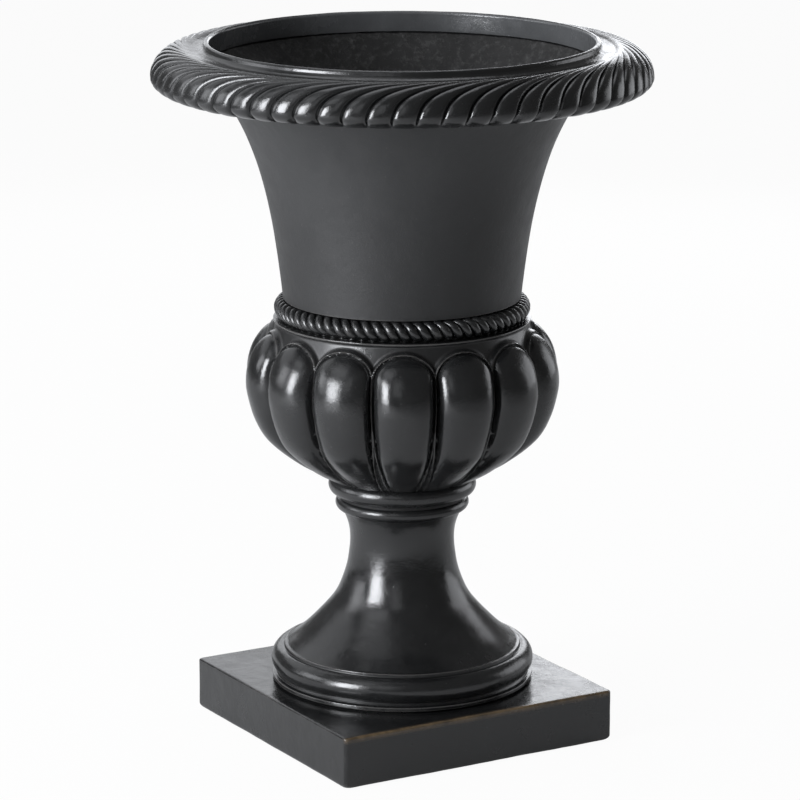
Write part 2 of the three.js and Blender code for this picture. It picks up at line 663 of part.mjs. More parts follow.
// Along the rod, measured from the ground
const BASE_WASHER_Z = PLINTH_TOP_Z - PLINTH_PLATE - BASE_WASHER_THICKNESS;
const BASE_NUT_Z = BASE_WASHER_Z - NUT_HEIGHT;
const SEAL_Z = FLOOR_Z + ROD_SEAT_RISE;
const SEAL_TOP_Z = SEAL_Z + SEAL_THICKNESS;
const TOP_NUT_Z = SEAL_TOP_Z + WASHER_THICKNESS;
const ROD_FOOT_Z = BASE_NUT_Z - ROD_TAIL;
const ROD_HEAD_Z = TOP_NUT_Z + NUT_HEIGHT + ROD_TAIL;

const rodHole = ROD_RADIUS + SLIP;
const nutCorner = NUT_FLATS / 2 / Math.cos(Math.PI / 6);
const nutGeometry = () => flatRing(nutCorner, rodHole, NUT_HEIGHT, 6, SMALL_SIDES);
const washerGeometry = (radius, thickness) => flatRing(radius, rodHole, thickness, SMALL_SIDES);

// Rubber plug: a tapered stem, a flange that rests on the floor and a knob to pull
function plugGeometry() {
  const stem = DRAIN_RADIUS - FIT;
  return turned([
    [0, -PLUG_LENGTH],
    [stem - PLUG_TAPER, -PLUG_LENGTH],
    [stem, -PLUG_LENGTH + PLUG_LEAD],
    [stem, 0],
    [PLUG_FLANGE_RADIUS, 0],
    [PLUG_FLANGE_RADIUS, PLUG_FLANGE_THICKNESS],
    [PLUG_KNOB_RADIUS - PLUG_KNOB_ROUND, PLUG_FLANGE_THICKNESS + PLUG_KNOB_ROUND],
    [PLUG_KNOB_RADIUS, PLUG_KNOB_HEIGHT - PLUG_KNOB_ROUND],
    [PLUG_KNOB_RADIUS - PLUG_KNOB_ROUND, PLUG_KNOB_HEIGHT],
    [0, PLUG_KNOB_HEIGHT],
  ], DRAIN_SIDES);
}

// ---- Materials ----

function finish(color, roughness, metalness = 0) {
  return () => new THREE.MeshStandardMaterial({ color, roughness, metalness });
}
const darkCement = finish(0x2b2d2f, 0.5);
const paleCement = finish(0x3c3e40, 0.62);
const blackRubber = finish(0x161616, 0.85);
const zincSteel = finish(0xb0b4b8, 0.35, 1);

// ---- Assembly ----

const urn = new THREE.Group();

function add(name, geometry, material, x, y, z) {
  const mesh = new THREE.Mesh(geometry, material());
  mesh.name = name;
  mesh.position.set(x, y, z);
  urn.add(mesh);
}

padPlaces.forEach(([x, y], i) => {
  add(`ground_pad_${i + 1}`, bar(PAD_RADIUS, 0, PAD_THICKNESS, DRAIN_SIDES), blackRubber, x, y, 0);
});
add('plinth', plinthGeometry(), darkCement, 0, 0, PLINTH_Z);
add('plinth_gasket', gasketGeometry(FOOT_DISC_EDGE - GASKET_SETBACK, FOOT_STEP_RADIUS - 2,
  PLINTH_GASKET), blackRubber, 0, 0, PLINTH_TOP_Z);
add('pedestal', pedestalGeometry(), darkCement, 0, 0, PEDESTAL_Z);
add('neck_gasket', gasketGeometry(BOWL_FOOT_EDGE - GASKET_SETBACK, BOSS_RADIUS + FIT, NECK_GASKET),
  blackRubber, 0, 0, PEDESTAL_TOP_Z);
add('gadrooned_bowl', bowlGeometry(), darkCement, 0, 0, BOWL_Z);
add('rope_moulding', ropeGeometry(), darkCement, 0, 0, BELL_Z);
add('bell_wall', bellGeometry(), paleCement, 0, 0, BELL_Z);
add('rolled_rim', rimGeometry(), darkCement, 0, 0, RIM_Z);

add('tie_rod', bar(ROD_RADIUS, ROD_FOOT_Z, ROD_HEAD_Z, SMALL_SIDES), zincSteel, 0, 0, 0);
add('base_washer', washerGeometry(BASE_WASHER_RADIUS, BASE_WASHER_THICKNESS), zincSteel,
  0, 0, BASE_WASHER_Z);
add('base_nut', nutGeometry(), zincSteel, 0, 0, BASE_NUT_Z);
add('sealing_washer', washerGeometry(SEAL_RADIUS, SEAL_THICKNESS), blackRubber, 0, 0, SEAL_Z);
add('top_washer', washerGeometry(WASHER_RADIUS, WASHER_THICKNESS), zincSteel, 0, 0, SEAL_TOP_Z);
add('top_nut', nutGeometry(), zincSteel, 0, 0, TOP_NUT_Z);
add('drain_plug', plugGeometry(), blackRubber, drainX, drainY, FLOOR_Z - DRAIN_RECESS);

export default urn;
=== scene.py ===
# %% [markdown]
# # An urn planter in dark cast cement
# The urn stands about 58 cm high: a flared bell with a rolled rim of twisted gadroons, a rope
# moulding, a bowl with fourteen lobes, a turned pedestal and a square plinth. The imported model
# gives every piece its size and place. Here each casting gets a fine mesh from the same few
# measures, and a finish made of nodes. The first cell loads the imported model and keeps its parts,
# whose boxes give the fine meshes their sizes.

# %% Load the imported model
import math

import bmesh
import bpy
import numpy as np
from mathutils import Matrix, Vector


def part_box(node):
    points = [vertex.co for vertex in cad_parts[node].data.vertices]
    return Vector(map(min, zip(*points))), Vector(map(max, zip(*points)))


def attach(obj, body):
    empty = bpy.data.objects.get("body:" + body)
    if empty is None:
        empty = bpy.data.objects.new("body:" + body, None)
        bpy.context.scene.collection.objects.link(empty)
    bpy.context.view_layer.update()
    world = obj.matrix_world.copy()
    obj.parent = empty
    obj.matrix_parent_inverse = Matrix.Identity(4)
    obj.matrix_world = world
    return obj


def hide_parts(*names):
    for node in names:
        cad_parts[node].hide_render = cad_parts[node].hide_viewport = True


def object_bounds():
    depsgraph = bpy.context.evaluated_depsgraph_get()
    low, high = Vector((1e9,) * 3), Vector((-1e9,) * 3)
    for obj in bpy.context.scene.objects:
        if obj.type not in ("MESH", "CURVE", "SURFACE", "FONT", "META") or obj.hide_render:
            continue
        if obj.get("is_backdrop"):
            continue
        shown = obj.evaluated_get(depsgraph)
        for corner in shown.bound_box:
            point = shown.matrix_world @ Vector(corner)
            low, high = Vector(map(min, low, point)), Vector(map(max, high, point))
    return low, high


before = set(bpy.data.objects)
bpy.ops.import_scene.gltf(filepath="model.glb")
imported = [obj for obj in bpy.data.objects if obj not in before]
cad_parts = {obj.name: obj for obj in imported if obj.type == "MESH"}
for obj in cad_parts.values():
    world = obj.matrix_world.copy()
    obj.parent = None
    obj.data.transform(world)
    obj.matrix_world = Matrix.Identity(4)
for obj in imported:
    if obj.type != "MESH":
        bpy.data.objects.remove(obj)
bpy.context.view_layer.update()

MM = 0.001                      # shapes are worked out in millimetres, and Blender works in metres

# %% [markdown]
# ## The camera
# The photograph was taken with a long lens from a little above the urn. The plinth's two visible
# sides and the rim's ellipse fix where the camera stood, so its place, tilt and lens are numbers
# that were worked out once. The small shift puts the urn's axis a little right of the middle.

# %% Camera
CAMERA_HEIGHT = 1.1048
CAMERA_DISTANCE = 3.358         # from the urn's axis, measured level
CAMERA_BEARING = math.radians(-30.31)
CAMERA_TILT = math.radians(13.76)
CAMERA_LENS = 187.32            # for a sensor 36 mm wide
CAMERA_SHIFT = -0.00276


def add_object(name, data):
    """Puts an object with this data into the scene."""
    made = bpy.data.objects.new(name, data)
    bpy.context.collection.objects.link(made)
    return made


camera_data = bpy.data.cameras.new("camera")
camera_data.sensor_width = 36
camera_data.lens = CAMERA_LENS
camera_data.shift_x = CAMERA_SHIFT
camera_data.clip_end = 50
camera = add_object("camera", camera_data)
camera.location = (CAMERA_DISTANCE * math.sin(CAMERA_BEARING),
                   -CAMERA_DISTANCE * math.cos(CAMERA_BEARING), CAMERA_HEIGHT)
camera.rotation_euler = (math.pi / 2 - CAMERA_TILT, 0, CAMERA_BEARING)
bpy.context.scene.camera = camera
bpy.context.scene.view_settings.view_transform = "Standard"
print("camera at", [round(value, 3) for value in camera.location])

# %% [markdown]
# ## Shader maths as Python
# A finish is mostly arithmetic: masks are added, multiplied and clamped before they mix colours.
# Writing that as nodes takes a line for each node and hides the sum. So one small class wraps an
# output socket and overloads Python's signs, and an expression such as `1 - mask * 0.5` adds its
# Math nodes by itself. Every other node comes from one method, which takes the node's type, its
# settings and what goes into its sockets.

# %% Wires and nodes
class Wire:
    """An output of a node, on which Python's arithmetic builds Math nodes."""

    def __init__(self, nodes, socket):
        self.nodes = nodes
        self.socket = socket

    def math(self, operation, *values):
        return self.nodes.add("Math", {"operation": operation}, dict(enumerate(values)))

    def __add__(self, other):
        return self.math("ADD", self, other)

    def __sub__(self, other):
        return self.math("SUBTRACT", self, other)

    def __rsub__(self, other):
        return self.math("SUBTRACT", other, self)

    def __mul__(self, other):
        return self.math("MULTIPLY", self, other)

    __radd__ = __add__
    __rmul__ = __mul__

    def clamped(self):
        """The value held between 0 and 1."""
        return self.nodes.add("Clamp", {}, {0: self})

    def between(self, low, high):
        """A smooth step: 0 at low, 1 at high."""
        return self.nodes.add("MapRange", {"interpolation_type": "SMOOTHSTEP"},
                              {"Value": self, "From Min": low, "From Max": high})


class Nodes:
    """The node tree of a material, or of the world."""

    def __init__(self, owner):
        owner.use_nodes = True
        self.tree = owner.node_tree
        self.tree.nodes.clear()

    def add(self, kind, settings=None, sockets=None, output=0):
        node = self.tree.nodes.new("ShaderNode" + kind)
        for name, value in (settings or {}).items():
            setattr(node, name, value)
        for name, value in (sockets or {}).items():
            self.feed(node.inputs[name], value)
        return Wire(self, node.outputs[output])

    def feed(self, socket, value):
        if isinstance(value, Wire):
            self.tree.links.new(value.socket, socket)
        else:
            socket.default_value = value

    def blend(self, share, first, second, way="MIX"):
        """Mixes two colours: all first where the share is 0."""
        settings = {"data_type": "RGBA", "blend_type": way}
        return self.add("Mix", settings, {0: share, 6: first, 7: second}, output=2)

    def noise(self, place, scale, detail=4.0, roughness=0.55):
        sockets = {"Vector": place, "Scale": scale, "Detail": detail, "Roughness": roughness}
        return self.add("TexNoise", {}, sockets)

    def surface(self, shader):
        """Ends the tree: the shader goes to the output."""
        self.add_end("OutputMaterial", shader)

    def add_end(self, kind, shader):
        node = self.tree.nodes.new("ShaderNode" + kind)
        self.tree.links.new(shader.socket, node.inputs["Surface"])


def grey(value, warmth=0.0):
    """A nearly neutral colour: warmth above 0 turns it brown, below 0 blue."""
    return (value * (1 + warmth), value, value * (1 - warmth), 1.0)

print("shader helpers ready")

# %% [markdown]
# ## Floor, surroundings and lamps
# The photograph has a white ground. White light from all round would also fill the dark parts of
# the urn, so the surroundings are white only where the camera looks straight at them, and a little
# in gloss. What lights the urn is a soft key panel low at the front left, with weaker panels above
# it and round to the left, which the bell and the stem mirror as their grey left half. Panels
# behind make the bright edges on the right and light the top of the plinth. The front right stays
# dark, as in the photograph.

# %% Floor
FLOOR_SIZE = 14.0
floor_mesh = bpy.data.meshes.new("floor")
half = FLOOR_SIZE / 2
floor_mesh.from_pydata([(-half, -half, 0), (half, -half, 0), (half, half, 0), (-half, half, 0)],
                       [], [(0, 1, 2, 3)])
floor = add_object("floor", floor_mesh)
floor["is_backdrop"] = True

GLOSS_SHARE = 0.12              # how much of the white ground shows in gloss


def seen_directly(nodes):
    """1 for a ray from the camera or through glass, and a share of it for a mirrored ray."""
    camera_ray, glossy_ray, through_ray = (
        nodes.add("LightPath", output=f"Is {ray} Ray")
        for ray in ("Camera", "Glossy", "Transmission"))
    return (camera_ray + through_ray + glossy_ray * GLOSS_SHARE).clamped()


floor_material = bpy.data.materials.new("floor")
nodes = Nodes(floor_material)
lit = nodes.add("BsdfDiffuse", {}, {"Color": grey(0.8)}, "BSDF")
white = nodes.add("Emission", {}, {"Color": grey(1.0), "Strength": 1.0}, "Emission")
FLOOR_WHITE = 0.96              # the rest of the floor's look is its lit colour, with the shadow
nodes.surface(nodes.add("MixShader", {}, {0: seen_directly(nodes) * FLOOR_WHITE, 1: lit, 2: white}))
floor_mesh.materials.append(floor_material)
print("floor", FLOOR_SIZE, "m square")

# %% World
AMBIENT = 0.02                  # what the surroundings give to matte surfaces
world = bpy.data.worlds.new("surroundings")
bpy.context.scene.world = world
nodes = Nodes(world)
level = seen_directly(nodes) * (1 - AMBIENT) + AMBIENT
nodes.add_end("OutputWorld", nodes.add("Background", {}, {"Color": grey(1.0), "Strength": level}))
print("ambient level", AMBIENT)

# %% Lamps
LAMP_DISTANCE = 2.4
AIM_HEIGHT = 0.3
LAMP_COLOUR = (0.94, 0.96, 1.0)


def soft_panel(name, bearing, rise, width, tall, level):
    """A soft panel lamp aimed at the urn. Its bearing is 0 at the camera and above 0 to its right,
    rise is how far above level it stands, both in degrees, and level is how bright its face is."""
    data = bpy.data.lights.new(name, "AREA")
    data.shape = "RECTANGLE"
    data.size = width
    data.size_y = tall
    data.energy = level * math.pi * width * tall
    data.color = LAMP_COLOUR
    lamp = add_object(name, data)
    turn = CAMERA_BEARING + math.radians(bearing)
    rise = math.radians(rise)
    level_distance = LAMP_DISTANCE * math.cos(rise)
    lamp.location = (level_distance * math.sin(turn), -level_distance * math.cos(turn),
                     AIM_HEIGHT + LAMP_DISTANCE * math.sin(rise))
    lamp.rotation_euler = (math.pi / 2 - rise, 0, turn)
    lamp.visible_camera = False


for name, bearing, rise, width, tall, level in (
        ("key", -52, 13, 0.92, 1.25, 18.0),
        ("left", -90, 17, 1.0, 1.0, 3.2),
        ("upper_left", -55, 48, 1.4, 0.7, 1.2),
        ("front", -14, 27, 0.7, 1.2, 0.7),
        ("back_left", -128, 36, 2.2, 1.3, 0.75),
        ("back", -170, 13, 1.2, 1.0, 1.3),
        ("low_back", 167, 12, 0.8, 0.8, 3.7),
        ("back_right", 118, 10, 1.7, 1.2, 1.7),
        ("top", -170, 72, 1.5, 1.5, 1.4),
        ("top_left", -60, 74, 1.3, 1.3, 0.5)):
    soft_panel(name, bearing, rise, width, tall, level)
print("lamps:", len(bpy.data.lights))

# %% [markdown]
# ## Cast cement
# The castings are fibre cement under a thin charcoal wash. From near, such a surface is not one
# grey: the wash is cloudy, and sand grains show as fine specks and pits. The crevices are darker,
# partly with dirt and partly as painted shade, and the edges are paler, partly with wear and partly
# as a painted highlight, and smoother. Each mesh therefore carries a number named `relief`, above 0
# on an edge and below 0 in a crevice, and another named `inside`, which is 1 on the rough inner
# walls. Three more mark what only single castings have: `sunk_grime_and_shade` the sunk ground
# between the lobes' heads, which is darkened for grime and as painted shade, `painted_light_band`
# the band inside the rim, painted pale as light falling on it, and `worn` the rubbed brown upper
# edge of the plinth. The finish reads them all.

# %% Cement finish
def cast_cement(name, tone, roughness, cloud=0.35, sheen=0.5, painted_shade_below=None):
    """Charcoal-washed cement: tone is its mean brightness, cloud how much the wash varies, and
    the last argument the heights, in metres, between which a painted shade darkens the wash
    downward."""
    material = bpy.data.materials.new(name)
    nodes = Nodes(material)
    place = nodes.add("TexCoord", output="Object")
    relief, inside, sunk_grime_and_shade, painted_light_band, worn = (
        nodes.add("Attribute", {"attribute_name": mark}, output="Fac")
        for mark in ("relief", "inside", "sunk_grime_and_shade", "painted_light_band", "worn"))
    clouds = nodes.noise(place, 9.0, detail=5.0, roughness=0.6).between(0.3, 0.7)
    mottle = nodes.noise(place, 55.0, detail=5.0, roughness=0.65).between(0.3, 0.7)
    grain = nodes.noise(place, 900.0, detail=2.0)
    specks = nodes.noise(place, 420.0, detail=3.0).between(0.66, 0.78)
    # Paler edges: partly wear, partly a painted highlight.
    wear_and_highlight = (relief * 3.0 + mottle * 0.5 - 0.75).clamped()
    # Darker crevices: partly dirt, partly painted shade.
    crevice_dirt_and_shade = (relief * -4.0 - 0.8 + sunk_grime_and_shade).clamped()

    wash = nodes.blend(clouds, grey(tone * (1 - cloud), -0.05), grey(tone * (1 + cloud), -0.03))
    wash = nodes.blend(mottle * 0.45, wash, grey(tone * 1.5, 0.0))
    if painted_shade_below:
        # Painted shade: below and between these heights the wash is darkened, so the casting is
        # darker towards its foot.
        height = nodes.add("SeparateXYZ", {}, {"Vector": place}, "Z")
        wash = nodes.blend((1 - height.between(*painted_shade_below)) * 0.55, wash, grey(tone * 0.3))
    wash = nodes.blend(specks * 0.25, wash, grey(0.12, 0.03))
    # Painted shade and dirt darken the crevices.
    wash = nodes.blend(crevice_dirt_and_shade * 0.7, wash, grey(tone * 0.4, 0.05))
    # Wear and a painted highlight make the edges paler.
    wash = nodes.blend(wear_and_highlight * 0.65, wash, grey(0.10, 0.04))
    # Painted light: the band inside the rim is painted pale, as light falling on it.
    wash = nodes.blend(painted_light_band * (0.55 + clouds * 0.3), wash, grey(0.14, -0.03))
    wash = nodes.blend((worn * (0.5 + mottle)).clamped(), wash, grey(0.13, 0.45))
    bloom = nodes.noise(place, 150.0, detail=8.0, roughness=0.75).between(0.46, 0.78)
    inner = nodes.blend(bloom * 0.75, grey(tone * 0.4, 0.04), grey(0.12, 0.02))
    colour = nodes.blend(inside, wash, inner)

    rough = roughness + (clouds - 0.5) * 0.10 + (mottle - 0.5) * 0.08 - wear_and_highlight * 0.10
    rough = rough + crevice_dirt_and_shade * 0.25 + inside * 0.25
    ripple = nodes.noise(place, 150.0, detail=3.0)
    height = grain * 0.4 + mottle * 0.8 + ripple * 0.8 + specks * 0.5 + inside * bloom * 8.0
    bump = nodes.add("Bump", {}, {"Height": height, "Strength": 0.35, "Distance": 0.0004})
    nodes.surface(nodes.add("BsdfPrincipled", {}, {
        "Base Color": colour, "Roughness": rough.clamped(), "Normal": bump,
        "Specular IOR Level": sheen}))
    return material


dark_cement = cast_cement("dark_cement", tone=0.011, roughness=0.232, sheen=0.7)
pale_cement = cast_cement("pale_cement", tone=0.019, roughness=0.47, cloud=0.25, sheen=0.6,
                          painted_shade_below=(0.36, 0.50))
print("cement finishes:", dark_cement.name, pale_cement.name)

# %% [markdown]
# ## Rubber and zinc
# The pads, the bedding rings, the seal and the drain plug are black rubber, with a faint bloom. The
# rod, the nuts and the washers are zinc plated steel. Zinc is never one grey: it has a fine spangle
# and dulls in patches, so its roughness varies more than its colour.

# %% Rubber and zinc finishes
def black_rubber(name, tone):
    material = bpy.data.materials.new(name)
    nodes = Nodes(material)
    place = nodes.add("TexCoord", output="Object")
    bloom = nodes.noise(place, 60.0, detail=5.0).between(0.4, 0.8)
    grain = nodes.noise(place, 1500.0, detail=2.0)
    colour = nodes.blend(bloom * 0.4, grey(tone), grey(tone * 2.6, 0.02))
    bump = nodes.add("Bump", {}, {"Height": grain, "Strength": 0.2, "Distance": 0.0002})
    nodes.surface(nodes.add("BsdfPrincipled", {}, {
        "Base Color": colour, "Roughness": 0.62 + bloom * 0.2, "Normal": bump}))
    return material


def zinc_steel():
    material = bpy.data.materials.new("zinc_steel")
    nodes = Nodes(material)
    place = nodes.add("TexCoord", output="Object")
    spangle = nodes.add("TexVoronoi", {}, {"Vector": place, "Scale": 260.0}, "Color")
    patch = nodes.noise(place, 70.0, detail=4.0).between(0.35, 0.7)
    shade = nodes.add("SeparateColor", {}, {"Color": spangle})
    colour = nodes.blend(shade * 0.5 + patch * 0.3, grey(0.42, -0.01), grey(0.62, 0.01))
    nodes.surface(nodes.add("BsdfPrincipled", {}, {
        "Base Color": colour, "Metallic": 1.0, "Roughness": 0.30 + shade * 0.12 + patch * 0.15}))
    return material


pad_rubber = black_rubber("black_rubber", 0.013)
plug_rubber = black_rubber("plug_rubber", 0.020)
zinc = zinc_steel()
print("small finishes:", pad_rubber.name, plug_rubber.name, zinc.name)

# %% [markdown]
# ## Outlines
# Almost everything here is turned, so a piece starts as an outline: points of radius and height, in
# the order that goes up the outside and down the inside. Corners of a casting are never sharp. The
# helper below takes a rounding with each corner, and then cuts long stretches into short steps, so
# that later work has points to move.

# %% Outline helpers
def arc(middle, half_width, half_height, start, end, steps):
    """Corners along an arc of an ellipse; the angles are in degrees from straight outward."""
    angles = np.radians(np.linspace(start, end, steps + 1))
    return [(middle[0] + half_width * math.cos(a), middle[1] + half_height * math.sin(a), 0)
            for a in angles]


def smooth_through(points, steps):
    """Corners along a smooth line through a few points."""
    points = np.array(points, float)
    padded = np.vstack([points[:1], points, points[-1:]])
    place = np.linspace(0, len(points) - 1, steps + 1)
    first = np.minimum(place.astype(int), len(points) - 2)
    t = (place - first)[:, None]
    before, start, end, after = (padded[first + k] for k in range(4))
    leave = (end - before) / 2
    arrive = (after - start) / 2
    line = ((2 * start - 2 * end + leave + arrive) * t**3
            + (3 * end - 3 * start - 2 * leave - arrive) * t**2 + leave * t + start)
    return [(r, z, 0) for r, z in line]


def outline(corners, step=1.6, closed=True):
    """Points of an outline: each corner is (radius, height, rounding), and no step is longer."""
    count = len(corners)
    places = np.array([corner[:2] for corner in corners], float)
    rounded = []
    for k, (r, z, rounding) in enumerate(corners):
        ends = not closed and k in (0, count - 1)
        if rounding == 0 or ends:
            rounded.append(places[k])
            continue
        before = places[k - 1] - places[k]
        after = places[(k + 1) % count] - places[k]
        reach = min(rounding, 0.45 * np.linalg.norm(before), 0.45 * np.linalg.norm(after))
        start = places[k] + before * reach / np.linalg.norm(before)
        end = places[k] + after * reach / np.linalg.norm(after)
        for t in np.linspace(0, 1, 5):
            rounded.append(start * (1 - t)**2 + 2 * places[k] * t * (1 - t) + end * t**2)
    points = []
    last = len(rounded) if closed else len(rounded) - 1
    for k in range(last):
        start = rounded[k]
        end = rounded[(k + 1) % len(rounded)]
        cuts = max(1, math.ceil(np.linalg.norm(end - start) / step))
        points += [start + (end - start) * i / cuts for i in range(cuts)]
    if not closed:
        points.append(rounded[-1])
    return np.array(points)

print("outline helpers ready")

# %% [markdown]
# ## From outlines to meshes
# `turned` spins an outline round the axis into rings of points. It can also push each point along
# the outline's own normal, which is how gadroons, lobes and strands are made, and turn each ring a
# little further than the last, which is how they twist. `piece` joins the rings with faces, moves
# every point inward by a little smooth noise, because a cast surface is never true, and measures
# the relief. Noise only ever moves points inward, so the piece stays inside its box.

# %% Turning
def turned(points, sides, depth=0.0, twist=0.0, first=0.0):
    """Rings of points: sides is their number, or their bearings in degrees. depth sinks each point
    below the outline, and twist turns each ring, in degrees."""
    ahead = np.roll(points, -1, axis=0) - np.roll(points, 1, axis=0)
    normal = np.stack([ahead[:, 1], -ahead[:, 0]], axis=1)
    normal /= np.maximum(np.linalg.norm(normal, axis=1, keepdims=True), 1e-9)
    if np.ndim(sides) == 0:
        sides = np.linspace(0, 360, sides, endpoint=False)
    bearing = np.radians(first + np.asarray(sides))
    bearing = bearing[None, :] + np.broadcast_to(np.radians(twist), len(points))[:, None]
    depth = np.broadcast_to(depth, bearing.shape)
    radius = points[:, 0, None] - normal[:, 0, None] * depth
    height = points[:, 1, None] - normal[:, 1, None] * depth
    return np.stack([radius * np.sin(bearing), -radius * np.cos(bearing), height], axis=-1)


def ring_at(bearings, radius, z):
    """One level ring of points at these bearings, in radians."""
    radius = np.broadcast_to(radius, bearings.shape)
    return np.column_stack([radius * np.sin(bearings), -radius * np.cos(bearings),
                            np.full(len(bearings), z)])

# %% Noise for shapes
def lumps(places, size, seed):
    """Smooth noise between 0 and 1 at each place, in lumps of about that size."""
    table = np.random.default_rng(seed).random(4096)
    scaled = places / size
    cell = np.floor(scaled).astype(np.int64)
    part = scaled - cell
    part = part * part * (3 - 2 * part)
    total = np.zeros(len(places))
    for corner in np.ndindex(2, 2, 2):
        near = np.array(corner)
        weight = np.prod(np.where(near, part, 1 - part), axis=1)
        spot = (cell + near) @ np.array([1, 57, 3391])
        total += weight * table[spot % len(table)]
    return total

spots = np.random.default_rng(1).random((999, 3)) * 99
print("noise runs from", round(float(lumps(spots, 5, 2).min()), 2))

# %% Meshes
def read(collection, name, width, kind=np.float32):
    """All values of one property of a mesh, as rows."""
    values = np.empty(len(collection) * width, kind)
    collection.foreach_get(name, values)
    return values.reshape(-1, width)


def points_of(mesh):
    """Where the points of a mesh are, in mm."""
    return read(mesh.vertices, "co", 3) / MM


def store(mesh, name, values):
    """Keeps one number for each point of a mesh."""
    layer = mesh.attributes.get(name) or mesh.attributes.new(name, "FLOAT", "POINT")
    layer.data.foreach_set("value", np.asarray(values, np.float32))


def measure_relief(mesh, passes=1):
    """Keeps how sharply the surface bends at each point, in 1/mm: above 0 on an edge."""
    place = points_of(mesh)
    normal = read(mesh.vertex_normals, "vector", 3)
    a, b = read(mesh.edges, "vertices", 2, np.int32).T
    step = place[b] - place[a]
    square = np.maximum((step**2).sum(axis=1), 1e-6)
    count = len(place)
    near = np.bincount(a, minlength=count) + np.bincount(b, minlength=count)
    bend = np.bincount(a, -2 * (step * normal[a]).sum(axis=1) / square, count)
    bend += np.bincount(b, 2 * (step * normal[b]).sum(axis=1) / square, count)
    bend /= near
    for _ in range(passes):
        around = np.bincount(a, bend[b], count) + np.bincount(b, bend[a], count)
        bend = (bend + around / near) / 2
    store(mesh, "relief", np.clip(bend, -2, 2))


def piece(name, rings, material, stands_for, body="urn", closed=True, uneven=(), inside=None,
          crease=35):
    """Makes the fine mesh of one node from its rings of points, in mm."""
    rows, sides = rings.shape[:2]
    row_count = rows if closed else rows - 1
    row, side = np.meshgrid(np.arange(row_count), np.arange(sides), indexing="ij")
    up = (row + 1) % rows
    on = (side + 1) % sides
    faces = np.stack([row * sides + side, row * sides + on, up * sides + on, up * sides + side], -1)
    mesh = bpy.data.meshes.new(name)
    mesh.from_pydata((rings.reshape(-1, 3) * MM).tolist(), [], faces.reshape(-1, 4).tolist())
    store(mesh, "inside", np.repeat(np.zeros(rows) if inside is None else inside, sides))
    shape = bmesh.new()
    shape.from_mesh(mesh)
    bmesh.ops.remove_doubles(shape, verts=shape.verts, dist=0.002 * MM)
    bmesh.ops.recalc_face_normals(shape, faces=shape.faces)
    shape.to_mesh(mesh)
    shape.free()
    for size, depth, seed in uneven:
        roughen(mesh, size, depth, seed)
    return dress(name, mesh, material, stands_for, body, crease)


def roughen(mesh, size, depth, seed, inside_depth=0.0):
    """Sinks each point by smooth noise, and the rough inner walls further."""
    place = points_of(mesh)
    normal = read(mesh.vertex_normals, "vector", 3)
    inside = read(mesh.attributes["inside"].data, "value", 1)
    sink = lumps(place, size, seed)[:, None] * (depth + inside * inside_depth)
    mesh.vertices.foreach_set("co", ((place - normal * sink) * MM).astype(np.float32).ravel())
    mesh.update()


def dress(name, mesh, material, stands_for, body, crease):
    """Makes the object, with its finish, its node and the body that it moves with."""
    measure_relief(mesh)
    mesh.materials.clear()
    mesh.materials.append(material)
    mesh.shade_smooth()
    mesh.set_sharp_from_angle(angle=math.radians(crease))
    made = add_object(name, mesh)
    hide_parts(stands_for)
    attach(made, body)
    print(f"{name}: {len(mesh.vertices)} points")
    return made


def low_high(node):
    """The corners of a node's box, in mm."""
    low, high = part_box(node)
    return low / MM, high / MM

# %% Cutting holes
def cut_round_holes(made, holes):
    """Cuts upright round holes, each (x, y, radius, from, to) in mm, and measures relief again."""
    for x, y, radius, bottom, top in holes:
        shape = bmesh.new()
        bmesh.ops.create_cone(shape, cap_ends=True, segments=64, radius1=radius * MM,
                              radius2=radius * MM, depth=(top - bottom) * MM)
        cutter_mesh = bpy.data.meshes.new("cutter")
        shape.to_mesh(cutter_mesh)
        shape.free()
        cutter = add_object("cutter", cutter_mesh)
        cutter.location = (x * MM, y * MM, (bottom + top) / 2 * MM)
        cut = made.modifiers.new("hole", "BOOLEAN")
        cut.operation = "DIFFERENCE"
        cut.solver = "EXACT"
        cut.object = cutter
        bpy.context.view_layer.update()
        result = bpy.data.meshes.new_from_object(
            made.evaluated_get(bpy.context.evaluated_depsgraph_get()))
        made.modifiers.clear()
        made.data = result
        bpy.data.objects.remove(cutter)
    measure_relief(made.data)
    print(made.name, "has", len(holes), "holes cut")

# %% [markdown]
# ## Plinth
# The plinth is a square slab on four pads, hollow below, with softly worn lower edges. Its rings
# are squares with rounded corners, all with the same number of points, so the rod's round hole in
# the middle can be one more ring.

# %% Plinth
PLINTH_CORNER = 3.5
PLINTH_TOP_ROUND = 2.0
PLINTH_FOOT_ROUND = 4.0
PLINTH_WALL = 24.0
PLINTH_PLATE = 14.0
PLINTH_WELL_CORNER = 26.0
ROD_BORE = 5.5
SIDE_STEPS = 60
CORNER_STEPS = 10


def square_ring(half, corner, z):
    """Points round a square with rounded corners, from the front towards +X."""
    points = []
    for k in range(4):
        turn = k * math.pi / 2
        round_part = np.linspace(0, math.pi / 2, CORNER_STEPS + 1)
        x = half - corner + corner * np.sin(round_part)
        y = -(half - corner) - corner * np.cos(round_part)
        straight = np.linspace(0, 1, SIDE_STEPS + 1)[1:-1]
        x = np.concatenate([x, np.full(len(straight), half)])
        y = np.concatenate([y, -(half - corner) + 2 * (half - corner) * straight])
        points.append(np.stack([x * math.cos(turn) - y * math.sin(turn),
                                x * math.sin(turn) + y * math.cos(turn)], axis=1))
    flat = np.concatenate(points)
    return np.column_stack([flat, np.full(len(flat), z)])


def round_ring(like, radius, z):
    """A round ring whose points stand at the bearings of another ring's points."""
    reach = np.hypot(like[:, 0], like[:, 1])
    return np.column_stack([like[:, :2] / reach[:, None] * radius, np.full(len(like), z)])


def between_rings(first, last, count):
    """Rings evenly spaced between two, without either."""
    return [first + (last - first) * t for t in np.linspace(0, 1, count + 2)[1:-1]]


